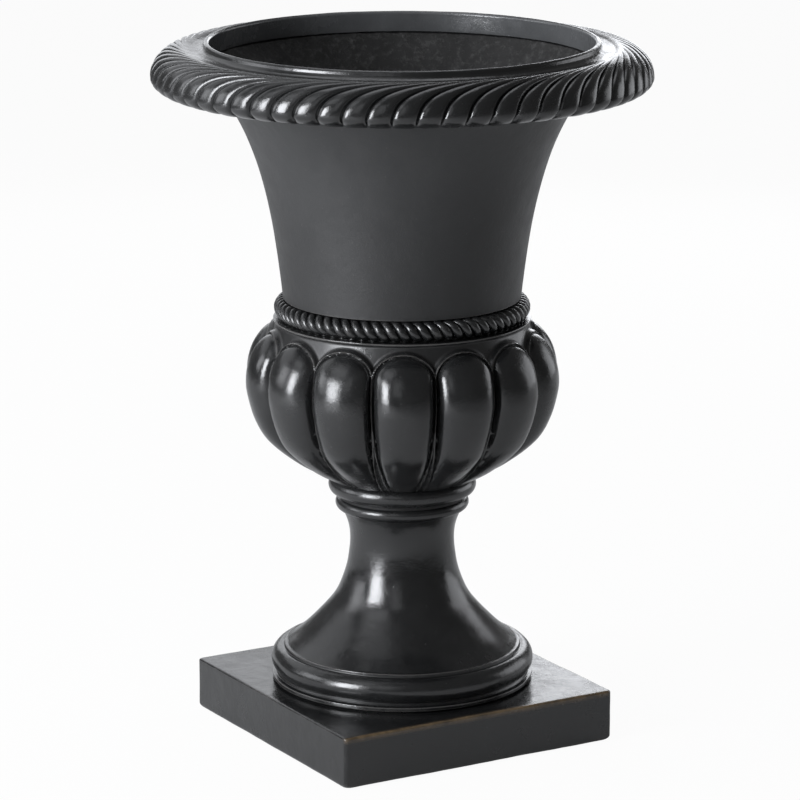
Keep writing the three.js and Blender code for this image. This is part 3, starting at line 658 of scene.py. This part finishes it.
plinth_low, plinth_high = low_high("plinth")
half = plinth_high.x
bottom, top = plinth_low.z, plinth_high.z
well_top = top - PLINTH_PLATE
rings = []
for angle in np.linspace(0, math.pi / 2, 8):
    inset = PLINTH_FOOT_ROUND * (1 - math.sin(angle))
    rings.append(square_ring(half - inset, PLINTH_CORNER + PLINTH_FOOT_ROUND * math.cos(angle) / 2,
                             bottom + PLINTH_FOOT_ROUND * (1 - math.cos(angle))))
for z in np.linspace(bottom + PLINTH_FOOT_ROUND, top - PLINTH_TOP_ROUND, 12)[1:-1]:
    rings.append(square_ring(half, PLINTH_CORNER, z))
for angle in np.linspace(0, math.pi / 2, 6):
    inset = PLINTH_TOP_ROUND * (1 - math.cos(angle))
    rings.append(square_ring(half - inset, PLINTH_CORNER + inset / 4,
                             top - PLINTH_TOP_ROUND * (1 - math.sin(angle))))
hole_top = round_ring(rings[-1], ROD_BORE, top)
rings += between_rings(rings[-1], hole_top, 44)
hole_foot = round_ring(hole_top, ROD_BORE, well_top)
well_roof = square_ring(half - PLINTH_WALL, PLINTH_WELL_CORNER, well_top)
rings += [hole_top, hole_foot]
rings += between_rings(hole_foot, well_roof, 12)
well_foot = square_ring(half - PLINTH_WALL, PLINTH_WELL_CORNER, bottom)
rings += [well_roof] + between_rings(well_roof, well_foot, 5) + [well_foot]
rings += between_rings(well_foot, rings[0], 3)
plinth = piece("plinth_casting", np.array(rings), dark_cement, "plinth",
               uneven=[(38, 0.5, 11), (9, 0.18, 12)])

# %% [markdown]
# The plinth is drained by two holes in its plate, and the pads sit in four shallow pockets. Its
# front upper edge is marked as worn, which the finish turns brown.

# %% Holes and pads of the plinth
PLINTH_DRAIN_OFFSET = 58.0
PLINTH_DRAIN_RADIUS = 8.0
FIT = 0.5                       # clearance of a piece in its seat
WORN_WIDTH = 2.6

pad_low, pad_high = low_high("ground_pad_3")
pad_radius = (pad_high.x - pad_low.x) / 2
pad_reach = (pad_high.x + pad_low.x) / 2
holes = [(side * PLINTH_DRAIN_OFFSET, 0, PLINTH_DRAIN_RADIUS, well_top - 2, top + 2)
         for side in (-1, 1)]
holes += [(x * pad_reach, y * pad_reach, pad_radius + FIT, bottom - 2, pad_high.z)
          for x in (-1, 1) for y in (-1, 1)]
cut_round_holes(plinth, holes)
place = points_of(plinth.data)
from_edge = np.hypot(place[:, 1] + half, place[:, 2] - top)
store(plinth.data, "worn", np.exp(-(from_edge / WORN_WIDTH)**2))


def small_turned(name, corners, sides, node, material, step=1.0, closed=True, body="urn",
                 place=(0, 0), crease=35):
    """A small turned piece from the corners of its outline."""
    rings = turned(outline(corners, step, closed), sides) + np.array([place[0], place[1], 0])
    return piece(name, rings, material, node, body, closed, crease=crease)


for k in range(1, 5):
    node = f"ground_pad_{k}"
    low, high = low_high(node)
    middle = ((low.x + high.x) / 2, (low.y + high.y) / 2)
    foot, head = low.z, high.z
    small_turned(f"rubber_pad_{k}", [
        (0, foot, 0), (2, foot, 0), (2.4, foot + 0.25, 0), (2.8, foot, 0), (5, foot, 0),
        (5.4, foot + 0.25, 0), (5.8, foot, 0), (pad_radius, foot, 0.7), (pad_radius, head, 0.4),
        (0, head, 0)], 64, node, pad_rubber, closed=False, place=middle)

# %% [markdown]
# ## Pedestal
# A turned casting, hollow inside: a thin disc, a torus, a small step, the long waisted stem and a
# bead below the neck joint. The stem's sweep goes through a few measured points. A locating boss
# stands on top, out of sight in the bowl's socket.

# %% Pedestal
FOOT_DISC_HEIGHT = 3.4
FOOT_DISC_RADIUS = 109.5
FOOT_TORUS_MIDDLE = 15.9
FOOT_TORUS_HALF = 11.2
FOOT_TORUS_WIDTH = 10.5
FOOT_STEP_RADIUS = 98.5
FOOT_STEP_HEIGHT = 29.5
WAIST_RADIUS = 43.8
WAIST_HEIGHT = 121.0
CAP_RADIUS = 56.0
CAP_BEAD_HALF = 5.4
CAP_BEAD_WIDTH = 5.2
CAP_JOINT_STEP = 0.9
CAP_NECK_RADIUS = 50.0
CAP_PLATE = 14.0
PEDESTAL_WALL = 9.5
BOSS_RADIUS = 40.0
EASE = 1.5

pedestal_low, pedestal_high = low_high("pedestal")
joint_low = low_high("neck_gasket")[0]
pedestal_base = pedestal_low.z
pedestal_height = joint_low.z - pedestal_base
foot_radius = pedestal_high.x
boss_top = pedestal_high.z - pedestal_base

cap_neck = pedestal_height - 2 * CAP_BEAD_HALF - 2 * CAP_JOINT_STEP
sweep = FOOT_STEP_RADIUS - EASE - WAIST_RADIUS
rise = WAIST_HEIGHT - FOOT_STEP_HEIGHT
flare = CAP_NECK_RADIUS - WAIST_RADIUS
SWEEP_SHARES = [(1, 0), (0.78, 0.1), (0.586, 0.21), (0.41, 0.32), (0.26, 0.43), (0.16, 0.54),
                (0.06, 0.71), (0.01, 0.88), (0, 1)]
FLARE_SHARES = [(0.16, 0.4), (0.55, 0.75), (1, 1)]
stem = [(WAIST_RADIUS + sweep * out, FOOT_STEP_HEIGHT + rise * up) for out, up in SWEEP_SHARES]
stem += [(WAIST_RADIUS + flare * out, WAIST_HEIGHT + (cap_neck - WAIST_HEIGHT) * up)
         for out, up in FLARE_SHARES]
waist_inside = WAIST_RADIUS - PEDESTAL_WALL
ceiling = pedestal_height - CAP_PLATE
bead_middle = pedestal_height - CAP_BEAD_HALF - CAP_JOINT_STEP
corners = [
    (FOOT_DISC_RADIUS, 0, 1.2), (FOOT_DISC_RADIUS, FOOT_DISC_HEIGHT + 0.4, 0.8),
    (FOOT_DISC_RADIUS - 3.4, FOOT_DISC_HEIGHT + 1.0, 0.5),
    *arc((foot_radius - FOOT_TORUS_WIDTH, FOOT_TORUS_MIDDLE), FOOT_TORUS_WIDTH, FOOT_TORUS_HALF,
         -62, 76, 26),
    (FOOT_STEP_RADIUS + 0.6, FOOT_STEP_HEIGHT - 2.9, 0.5),
    (FOOT_STEP_RADIUS + 0.4, FOOT_STEP_HEIGHT - 0.2, 0.8),
    *smooth_through(stem, 90),
    (CAP_NECK_RADIUS + 0.3, cap_neck + 0.5, 0.3),
    *arc((CAP_RADIUS - CAP_BEAD_WIDTH, bead_middle), CAP_BEAD_WIDTH, CAP_BEAD_HALF, -72, 72, 12),
    (CAP_RADIUS - 3.4, pedestal_height, 0.3), (BOSS_RADIUS, pedestal_height, 0.5),
    (BOSS_RADIUS, boss_top, 1.5), (ROD_BORE, boss_top, 0.4),
    (ROD_BORE, ceiling, 0.4), (waist_inside + 4, ceiling, 3), (waist_inside, WAIST_HEIGHT, 0),
    *smooth_through([(waist_inside + 3, WAIST_HEIGHT * 0.74),
                     (waist_inside + 17, WAIST_HEIGHT * 0.48),
                     (FOOT_STEP_RADIUS - 28, FOOT_STEP_HEIGHT),
                     (FOOT_STEP_RADIUS - 7, FOOT_STEP_HEIGHT * 0.42),
                     (FOOT_STEP_RADIUS - 4, 0)], 24),
]
points = outline(corners, step=2.2) + [0, pedestal_base]
within = (points[:, 1] < pedestal_base + ceiling + 0.1) & (points[:, 0] < waist_inside + 56)
highest = int(np.argmax(points[:, 1]))
inner_rows = np.zeros(len(points))
inner_rows[highest:] = within[highest:]
pedestal = piece("pedestal_casting", turned(points, 320), dark_cement, "pedestal",
                 uneven=[(45, 0.45, 21), (12, 0.16, 22)], inside=inner_rows)

# %% [markdown]
# ## Bowl
# The bowl is where a simple lathe stops. Its plain swelling carries fourteen lobes, each like a
# finger tip: round in section, swelling from the foot, rounded over at its head. A thin bead
# borders every lobe. Neighbouring beads meet below the heads, run down as one rib, and part again
# near the foot, and the spandrels between the heads are sunk. All of that is a height above the
# swelling, worked out for each point from where it lies in its lobe. Points stand closer together
# in the valleys, where the rib needs them.

# %% Bowl measures
LOBE_COUNT = 14
LOBE_TURN = -3.95
LOBE_HEIGHT = 15.5
LOBE_ARCH = 19.0
LOBE_FILL = [(0, 0.66), (0.12, 0.76), (0.3, 0.87), (0.5, 0.93), (1, 0.94)]  # of the pitch
LOBE_FOOT_SHARE = 0.16          # how much of its height a lobe has at its foot
LOBE_FULL_FROM = 0.45           # share of the zone above which it has all of it
LOBE_HEAD_FROM = 0.68           # share above which its head bends inward
LOBE_SECTION = 2.2              # 2 is a round section, more is fuller
HEAD_GAP = 6.5                  # from a lobe's head up to the band
SWELLING_RADIUS = 116.2
BOWL_FOOT_HEIGHT = 15.75
BOWL_FOOT_EDGE = 54.0
BOWL_FOOT_RADIUS = 61.8
FILLET_RADIUS = 106.8
FILLET_HEIGHT = 7.5             # the band above the lobes
ROPE_REBATE = 4.0               # depth of the step in the band that the rope lies in
ROPE_REBATE_RADIUS = 94.5
MOUTH_RADIUS = 89.0
MOUTH_DEPTH = 21.0
BOWL_WALL = 10.0
BOWL_FLOOR = 27.5
BOWL_FLOOR_RADIUS = 44.0
ROD_SEAT_RISE = 1.5
ROD_SEAT_RADIUS = 15.5
BORDER_WIDTH = 1.7              # half the width of the bead round a head
BORDER_HEIGHT = 2.6
BORDER_OFFSET = 1.7             # from the edge of a lobe to its bead
BORDER_GROOVE_DEPTH = 1.7       # of the groove between the two
BORDER_GROOVE_WIDTH = 0.7
SPANDREL_DEPTH = 2.2
SWELLING_SHARES = [(0.53, 0), (0.703, 0.107), (0.866, 0.26), (0.944, 0.412), (0.991, 0.565),
                   (1, 0.66), (0.982, 0.794), (0.95, 0.908), (0.921, 1)]

bowl_low, bowl_high = low_high("gadrooned_bowl")
bowl_base = bowl_low.z
bowl_height = bowl_high.z - bowl_base
zone = bowl_height - FILLET_HEIGHT - BOWL_FOOT_HEIGHT
swelling = np.array([corner[:2] for corner in smooth_through(SWELLING_SHARES, 200)])


def swelling_radius(share):
    return SWELLING_RADIUS * np.interp(share, swelling[:, 1], swelling[:, 0])


def lobe_relief(across, share):
    """Height above the plain swelling; across is -1 to 1 over a lobe, share 0 to 1 up the zone."""
    half_pitch = math.pi * swelling_radius(share) / LOBE_COUNT
    from_middle = np.abs(across) * half_pitch
    half_width = half_pitch * np.interp(share, *zip(*LOBE_FILL))
    head = zone - HEAD_GAP
    above = share * zone - (head - LOBE_ARCH)
    # how far outside the lobe's edge a point lies, in mm: below 0 inside it
    round_share = np.hypot(from_middle / half_width, np.maximum(above, 0) / LOBE_ARCH)
    beyond = np.where(above < 0, from_middle - half_width,
                      np.hypot(from_middle, above) * (1 - 1 / np.maximum(round_share, 1e-6)))
    # the lobe itself
    grown = np.sin(math.pi / 2 * np.minimum(1, share / LOBE_FULL_FROM))
    swell = LOBE_FOOT_SHARE + (1 - LOBE_FOOT_SHARE) * grown
    over = np.clip((share - LOBE_HEAD_FROM) / (head / zone - LOBE_HEAD_FROM), 0, 1)
    crest = LOBE_HEIGHT * swell * np.sqrt(1 - over**2)
    narrow = np.sqrt(np.clip(1 - (np.maximum(above, 0) / LOBE_ARCH)**2, 1e-9, 1))
    away = np.clip(from_middle / (half_width * narrow), 0, 1)
    body = crest * np.sqrt(1 - away**LOBE_SECTION)
    # the bead round it, the groove between them, and the sunk ground outside the beads
    bead_place = np.minimum(half_pitch - half_width, BORDER_OFFSET)
    fade = np.interp(share, [0.0, 0.25, 0.6, 0.85], [0.6, 0.85, 0.95, 1.0])
    off_bead = (beyond - bead_place) / (BORDER_WIDTH * np.interp(share, [0, 0.6], [0.75, 1.0]))
    bead = BORDER_HEIGHT * fade * np.sqrt(np.clip(1 - off_bead**2, 0, 1))
    groove = BORDER_GROOVE_DEPTH * fade * np.exp(-((beyond - 0.3) / BORDER_GROOVE_WIDTH)**2)
    sunk = np.clip((beyond - bead_place - BORDER_WIDTH * 0.6) / 2.0, 0, 1) * (above > 0)
    return body + bead - groove - SPANDREL_DEPTH * sunk

# %% Bowl
LOBE_STEPS = 34                 # points across a lobe
even = np.linspace(-1, 1, LOBE_STEPS, endpoint=False)
across = even + 0.45 / math.pi * np.sin(math.pi * even)
lobe_bearings = (np.arange(LOBE_COUNT)[:, None] + across[None, :] / 2).ravel() * 360 / LOBE_COUNT
lobe_bearings = np.radians(lobe_bearings + LOBE_TURN)
across = np.tile(across, LOBE_COUNT)


def bowl_ring(radius, z):
    """A ring of the bowl, with its points at the lobes' bearings."""
    return ring_at(lobe_bearings, radius, z + bowl_base)


foot_bead = arc((BOWL_FOOT_EDGE, BOWL_FOOT_HEIGHT / 2), BOWL_FOOT_RADIUS - BOWL_FOOT_EDGE,
                BOWL_FOOT_HEIGHT / 2, -90, 62, 18)
rings = [bowl_ring(r, z) for r, z, _ in foot_bead]
head_share = 1 - (HEAD_GAP + LOBE_ARCH + 4) / zone
shares = np.concatenate([np.linspace(0, head_share, 62)[:-1], np.linspace(head_share, 1, 44)])
for share in shares:
    rings.append(bowl_ring(swelling_radius(share) + lobe_relief(across, share),
                           BOWL_FOOT_HEIGHT + zone * share))
socket_roof = boss_top - pedestal_height + 0.75
band = outline([
    (FILLET_RADIUS - 1.6, bowl_height - FILLET_HEIGHT + 0.6, 0.4),
    (FILLET_RADIUS, bowl_height - FILLET_HEIGHT + 2.0, 0.6),
    (FILLET_RADIUS, bowl_height - ROPE_REBATE, 0.8),
    (ROPE_REBATE_RADIUS, bowl_height - ROPE_REBATE, 0), (ROPE_REBATE_RADIUS, bowl_height, 0.5),
    (MOUTH_RADIUS, bowl_height, 0.8),
    (MOUTH_RADIUS, bowl_height - MOUTH_DEPTH, 1.0),
    *[(swelling_radius(outer) - BOWL_WALL, BOWL_FOOT_HEIGHT + zone * inner, rounding)
      for outer, inner, rounding in ((0.72, 0.74, 2), (0.56, 0.58, 4), (0.36, 0.42, 8),
                                     (0.2, 0.28, 8))],
    (swelling_radius(0.05) - BOWL_WALL / 3, BOWL_FLOOR + 6, 6),
    (BOWL_FLOOR_RADIUS, BOWL_FLOOR, 4), (ROD_SEAT_RADIUS, BOWL_FLOOR, 0.4),
    (ROD_SEAT_RADIUS, BOWL_FLOOR + ROD_SEAT_RISE, 0.5), (ROD_BORE, BOWL_FLOOR + ROD_SEAT_RISE, 0.3),
    (ROD_BORE, socket_roof, 0), (BOSS_RADIUS + FIT, socket_roof, 0.5),
    (BOSS_RADIUS + FIT, 0, 0.5)], step=4.0, closed=False)
rings += [bowl_ring(r, z) for r, z in band]
inner_rows = np.zeros(len(rings))
first_inner = len(rings) - len(band) + int(np.argmax(band[:, 0] <= MOUTH_RADIUS + 0.1))
inner_rows[first_inner:] = 1
bowl = piece("lobed_bowl", np.array(rings), dark_cement, "gadrooned_bowl",
             uneven=[(30, 0.35, 31), (8, 0.12, 32)], inside=inner_rows, crease=50)

# %% [markdown]
# The soil floor has a drain with a recess for the plug's flange. Its hole goes on through the cap
# of the pedestal, so that water runs down the stem and out below the plinth. The low ground between
# the heads of the lobes is then marked for grime and painted shade.

# %% Drain
DRAIN_RADIUS = 7.2
DRAIN_RECESS = 3.0
plug_low, plug_high = low_high("drain_plug")
drain_x = (plug_low.x + plug_high.x) / 2
plug_flange = (plug_high.x - plug_low.x) / 2
floor_z = bowl_base + BOWL_FLOOR
cut_round_holes(bowl, [(drain_x, 0, plug_flange + FIT, floor_z - DRAIN_RECESS, floor_z + 2),
                       (drain_x, 0, DRAIN_RADIUS, bowl_base + 5, floor_z + 2)])
cut_round_holes(pedestal, [(drain_x, 0, DRAIN_RADIUS, pedestal_base + ceiling - 2,
                            pedestal_base + boss_top + 2)])
place = points_of(bowl.data)
share = (place[:, 2] - bowl_base - BOWL_FOOT_HEIGHT) / zone
proud = np.hypot(place[:, 0], place[:, 1]) - swelling_radius(np.clip(share, 0, 1))
# Grime and painted shade: the finish darkens the low ground between the lobes' heads.
sunk_grime_and_shade_share = np.clip(1 - proud / 2.0, 0, 1) * (proud > -5) * np.clip((share - 0.6) / 0.15, 0, 1)
store(bowl.data, "sunk_grime_and_shade", sunk_grime_and_shade_share)

# %% [markdown]
# ## Rope moulding
# The rope is a ring of round section. Each strand bulges, and leans to the left as it goes up. The
# bulge sinks the section between strands, and the lean is a twist that grows round the section.

# %% Rope moulding
ROPE_SECTION = 8.3
ROPE_STRANDS = 72
ROPE_STEPS = 14                 # points across a strand
ROPE_GROOVE = 3.8
ROPE_LAY = -6.0

rope_low, rope_high = low_high("rope_moulding")
rope_radius = rope_high.x - 1.2
rope_foot = rope_low.z - ROPE_REBATE + 0.1
rope_bore = ROPE_REBATE_RADIUS + 0.2
rope_middle = (rope_radius - ROPE_SECTION, ROPE_SECTION)
ROPE_START = -78
ROPE_END = 100
section = arc(rope_middle, ROPE_SECTION, ROPE_SECTION, ROPE_START, ROPE_END, 26)
back = outline([(rope_bore, 2 * ROPE_SECTION - 0.6, 0.5), (rope_bore, 0, 0.5),
                (rope_middle[0] + 1.5, 0, 0.3)], step=3.0, closed=False)
points = np.vstack([[(r, z) for r, z, _ in section], back])
share = np.concatenate([np.linspace(0, 1, len(section)), np.zeros(len(back))])
strand = np.linspace(-1, 1, ROPE_STEPS, endpoint=False)
bulge = 1 - np.sqrt(1 - 0.97 * strand**2)
fade = np.concatenate([np.minimum(1, 5 * np.minimum(share, 1 - share)[:len(section)] + 0.35),
                       np.zeros(len(back))])
depth = ROPE_GROOVE * fade[:, None] * np.tile(bulge, ROPE_STRANDS)[None, :]
twist = np.concatenate([ROPE_LAY * share[:len(section)], np.linspace(ROPE_LAY, 0, len(back))])
points = points + [0, rope_foot]
piece("rope_ring", turned(points, ROPE_STRANDS * ROPE_STEPS, depth, twist), dark_cement,
      "rope_moulding", uneven=[(7, 0.18, 41), (30, 0.15, 42)], crease=60)

# %% [markdown]
# ## Bell
# The bell is thin and flared, its outside as smooth as a hand float leaves it and its inside as
# rough as the mould left it. Its outline is one cubic curve from the rope to just below the rim.

# %% Bell
BELL_FOOT_RADIUS = 98.7
BELL_REBATE_RADIUS = 94.0
BELL_MOUTH_RADIUS = 150.0
BELL_MOUTH_DEPTH = 22.0
BELL_INSIDE_RADIUS = 157.0
BELL_FLANGE_HEIGHT = 6.0
BELL_WALL = 9.0
SPIGOT_WALL = 7.6
bell_low, bell_high = low_high("bell_wall")
bell_base = bowl_high.z
bell_height = bell_high.z - bell_base
flange_radius = bell_high.x
spigot = MOUTH_RADIUS - FIT
rope_top = rope_foot + 2 * ROPE_SECTION - bell_base + 0.3
mouth = bell_height - BELL_MOUTH_DEPTH
flare = BELL_MOUTH_RADIUS - BELL_FOOT_RADIUS
rise = mouth - rope_top
handles = np.array([(BELL_FOOT_RADIUS, rope_top),
                    (BELL_FOOT_RADIUS + 0.18 * flare, rope_top + 0.49 * rise),
                    (BELL_FOOT_RADIUS + 0.40 * flare, rope_top + 0.76 * rise),
                    (BELL_MOUTH_RADIUS, mouth)])
t = np.linspace(0, 1, 90)[:, None]
wall = ((1 - t)**3 * handles[0] + 3 * (1 - t)**2 * t * handles[1]
        + 3 * (1 - t) * t**2 * handles[2] + t**3 * handles[3])
inner = (wall[::-2] - [BELL_WALL, 0])[1:]
spigot_foot = bell_low.z - bell_base
corners = [
    (spigot - SPIGOT_WALL, spigot_foot, 0.5), (spigot, spigot_foot, 1.5), (spigot, 0, 0.3),
    (BELL_REBATE_RADIUS, 0, 0.5), (BELL_REBATE_RADIUS, rope_top, 0.5),
    *[(r, z, 0) for r, z in wall],
    (flange_radius, bell_height - BELL_FLANGE_HEIGHT, 1.0), (flange_radius, bell_height, 1.0),
    (BELL_INSIDE_RADIUS, bell_height, 1.0),
    *[(r, z, 0) for r, z in inner],
    (spigot - SPIGOT_WALL + 2, rope_top, 2.0),
]
points = outline(corners, step=2.4)
highest = int(np.argmax(points[:, 1]))
inner_rows = np.zeros(len(points))
inner_rows[highest + 4:] = 1
bell = piece("bell_casting", turned(points + [0, bell_base], 420), pale_cement,
             "bell_wall", uneven=[(60, 0.5, 51), (16, 0.14, 52)], inside=inner_rows)
roughen(bell.data, 11, 0.0, 53, inside_depth=1.3)
roughen(bell.data, 5, 0.0, 54, inside_depth=0.7)
measure_relief(bell.data)

# %% [markdown]
# ## Rim
# The rim is a fat roll of sixty-four gadroons. Each starts upright on the outside and swings to the
# right as it climbs over the roll, faster towards the middle, until it runs nearly level into the
# smooth cove: so the twist grows with a high power of the way along. In section a gadroon is full,
# with a narrow groove on either side. Inside the cove stands a thin rounded lip, and a smooth band
# goes down into the mouth.

# %% Rim
RIM_ROLL_WIDTH = 24.1
RIM_ROLL_RISE = 24.0
RIM_ROLL_DROP = 12.2
RIM_ROLL_MIDDLE = -11.5
RIM_LIP_RADIUS = 159.5
RIM_LIP_ROUND = 2.6
RIM_COVE_WIDTH = 8.0            # from the lip's crest to the lowest line of the cove
RIM_COVE_DEPTH = 7.1
RIM_UNDERSIDE_INSET = 2.0
RIM_STRANDS = 64
RIM_STEPS = 14                  # points across a gadroon
RIM_GROOVE = 4.8
RIM_FULLNESS = 2.6              # 2 is a round gadroon, more is flatter with narrower grooves
RIM_TWIST = 32.7
RIM_SWING = 4.5
RIM_FADE = 0.93
RIM_TURN = 1.1
ROLL_LOWEST = -62
ROLL_INNERMOST = 110

rim_high = low_high("rolled_rim")[1]
rim_base = bell_high.z
rim_radius = rim_high.x
lip_top = rim_high.z - rim_base
roll_middle = (rim_radius - RIM_ROLL_WIDTH, RIM_ROLL_MIDDLE)
LOWER_STEPS = 14
UPPER_STEPS = 46
roll = arc(roll_middle, RIM_ROLL_WIDTH, RIM_ROLL_DROP, ROLL_LOWEST, 0, LOWER_STEPS)[:-1]
roll += arc(roll_middle, RIM_ROLL_WIDTH, RIM_ROLL_RISE, 0, ROLL_INNERMOST, UPPER_STEPS)
underside = RIM_ROLL_MIDDLE - RIM_ROLL_DROP
lip_foot = lip_top - RIM_LIP_ROUND
flange = flange_radius + FIT
throat = BELL_MOUTH_RADIUS + FIT
cove = smooth_through([roll[-1][:2], (RIM_LIP_RADIUS + RIM_COVE_WIDTH, lip_top - RIM_COVE_DEPTH),
                       (RIM_LIP_RADIUS + RIM_LIP_ROUND + 1.6, lip_top - RIM_COVE_DEPTH + 1.5)], 10)
rest = outline([
    *cove[1:], (RIM_LIP_RADIUS + RIM_LIP_ROUND + 0.2, lip_foot - 1.2, 0.4),
    *arc((RIM_LIP_RADIUS, lip_foot), RIM_LIP_ROUND, RIM_LIP_ROUND, 0, 170, 10),
    (BELL_INSIDE_RADIUS, lip_foot - 1, 0.5), (BELL_INSIDE_RADIUS, 0, 0.6), (flange, 0, 0.4),
    (flange, -BELL_FLANGE_HEIGHT, 0.4), (throat, -BELL_MOUTH_DEPTH, 0.4),
    (throat, underside, 0.6), (roll_middle[0] - RIM_UNDERSIDE_INSET, underside, 1.0)],
    step=3.0, closed=False)
points = np.vstack([[(r, z) for r, z, _ in roll], rest])
share = (np.array([*np.linspace(ROLL_LOWEST, 0, LOWER_STEPS, endpoint=False),
                   *np.linspace(0, ROLL_INNERMOST, UPPER_STEPS + 1)]) - ROLL_LOWEST)
share = share / (ROLL_INNERMOST - ROLL_LOWEST)
gadroon = np.linspace(-1, 1, RIM_STEPS, endpoint=False)
gadroon = gadroon + 0.35 / math.pi * np.sin(math.pi * gadroon)
hollow = 1 - (1 - 0.985 * np.abs(gadroon)**RIM_FULLNESS)**(1 / RIM_FULLNESS)
fade = np.clip(np.minimum(0.35 + 4 * share, 4 * (RIM_FADE - share)), 0, 1)
depth = np.zeros((len(points), RIM_STRANDS * RIM_STEPS))
depth[:len(roll)] = RIM_GROOVE * fade[:, None] * np.tile(hollow, RIM_STRANDS)[None, :]
bearings = (np.arange(RIM_STRANDS)[:, None] + gadroon[None, :] / 2).ravel() * 360 / RIM_STRANDS
swing = RIM_TWIST * np.minimum(share, RIM_FADE)**RIM_SWING
twist = np.concatenate([swing, np.linspace(swing[-1], 0, len(rest))])
rings = turned(points + [0, rim_base], bearings, depth, twist, first=RIM_TURN + 180 / RIM_STRANDS)
rim = piece("gadrooned_rim", rings, dark_cement, "rolled_rim",
            uneven=[(26, 0.35, 61), (7, 0.15, 62)], crease=60)
place = points_of(rim.data)
# The band inside the lip is marked for the finish's painted light.
store(rim.data, "painted_light_band", np.hypot(place[:, 0], place[:, 1]) < RIM_LIP_RADIUS - 1.5)

# %% [markdown]
# ## Bedding rings, rod, nuts and washers
# Thin black rings lie in the two joints that carry the load. The rod that draws the castings
# together is threaded along its whole length. A thread is a wave that climbs as it turns, so it is
# the same kind of ring mesh again, with the depth taken from height and bearing together.

# %% Bedding rings
for node, name, inner_radius in (("plinth_gasket", "plinth_bedding", FOOT_STEP_RADIUS - 2),
                                 ("neck_gasket", "neck_bedding", BOSS_RADIUS + FIT)):
    low, high = low_high(node)
    small_turned(name, [(high.x, low.z, 0.4), (high.x, high.z, 0.4), (inner_radius, high.z, 0.3),
                        (inner_radius, low.z, 0.3)], 160, node, pad_rubber, 2.0)

# %% Tie rod
THREAD_PITCH = 1.5
THREAD_DEPTH = 0.75
THREAD_STEPS = 5                # rings to a turn of the thread
PLAIN_END = 0.8                 # length without thread at each end
ROD_CHAMFER = 1.2

rod_low, rod_high = low_high("tie_rod")
rod_radius = (rod_high.x - rod_low.x) / 2
count = int((rod_high.z - rod_low.z - 2 * PLAIN_END) / THREAD_PITCH * THREAD_STEPS)
heights = np.linspace(rod_low.z + PLAIN_END, rod_high.z - PLAIN_END, count)
points = np.array([(0, rod_low.z), (rod_radius - ROD_CHAMFER, rod_low.z),
                   *[(rod_radius, z) for z in heights],
                   (rod_radius - ROD_CHAMFER, rod_high.z), (0, rod_high.z)])
ROD_SIDES = 24
turn_share = np.arange(ROD_SIDES) / ROD_SIDES
wave = np.abs(((points[:, 1, None] / THREAD_PITCH - turn_share[None, :]) % 1) * 2 - 1)
depth = THREAD_DEPTH * wave
depth[[0, 1, -2, -1]] = 0
rings = turned(points, ROD_SIDES)
radius = np.hypot(rings[..., 0], rings[..., 1])
shrink = np.where(radius > 1e-6, (radius - depth) / np.maximum(radius, 1e-6), 0)
rings[..., :2] *= shrink[..., None]
piece("threaded_rod", rings, zinc, "tie_rod", closed=False, crease=70)

# %% Nuts
NUT_FLATS = 17.0
ROD_FIT = 0.3                   # clearance round the rod
NUT_STEPS = 12                  # points along each side
NUT_CHAMFER_SLOPE = 1.7


def hex_nut(name, node, bore):
    low, high = low_high(node)
    bearing = np.linspace(0, 2 * math.pi, 6 * NUT_STEPS, endpoint=False)
    from_flat = (bearing + math.pi / 6) % (math.pi / 3) - math.pi / 6
    side = NUT_FLATS / 2 / np.cos(from_flat)
    ends = (0, 0.4, 0.9, 4)
    rings = []
    for from_end, z in [(k, low.z + k) for k in ends] + [(k, high.z - k) for k in reversed(ends)]:
        reach = np.minimum(side, NUT_FLATS / 2 * 0.96 + from_end * NUT_CHAMFER_SLOPE)
        rings.append(ring_at(bearing, reach, z))
    for radius, z in ((bore + 0.6, high.z), (bore, high.z - 0.6), (bore, low.z + 0.6),
                      (bore + 0.6, low.z)):
        rings.append(ring_at(bearing, radius, z))
    piece(name, np.array(rings), zinc, node, crease=30)


hex_nut("upper_nut", "top_nut", rod_radius + ROD_FIT)
hex_nut("lower_nut", "base_nut", rod_radius + ROD_FIT)

# %% Washers and seal
for name, node, material, slot, round_edge in (
        ("upper_washer", "top_washer", zinc, "zinc_steel", 0.4),
        ("lower_washer", "base_washer", zinc, "zinc_steel", 0.4),
        ("rubber_seal", "sealing_washer", pad_rubber, "black_rubber", 1.1)):
    low, high = low_high(node)
    bore = rod_radius + ROD_FIT
    small_turned(name, [(high.x, low.z, round_edge), (high.x, high.z, round_edge),
                        (bore, high.z, 0.4), (bore, low.z, 0.4)], 96, node, material)

# %% [markdown]
# ## Drain plug
# The one piece that moves: a rubber plug with a tapered stem, a flange that lies in the recess of
# the drain, and a knob to pull it by.

# %% Drain plug
seat = floor_z - DRAIN_RECESS
stem_radius = DRAIN_RADIUS - FIT
small_turned("rubber_plug", [
    (0, plug_low.z, 0), (stem_radius - 1.4, plug_low.z, 0.8), (stem_radius, plug_low.z + 4, 1.0),
    (stem_radius - 0.2, seat - 0.4, 0.2), (plug_flange, seat, 0.4), (plug_flange, seat + 2.0, 1.0),
    (5.5, seat + 2.6, 1.0), (2.6, seat + 3.6, 1.0), (2.6, seat + 5.0, 0.8), (3.8, seat + 6.6, 0.8),
    (3.4, plug_high.z, 1.0), (0, plug_high.z, 0)], 72, "drain_plug", plug_rubber,
    step=0.6, closed=False, body="plug", place=(drain_x, 0))

# %% [markdown]
# ## The size
# The box of the dressed urn is printed, in millimetres. The dressed urn may not be larger than the
# imported one.

low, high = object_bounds()
print("box in mm:", [round(value / MM, 1) for value in (*low, *high)])
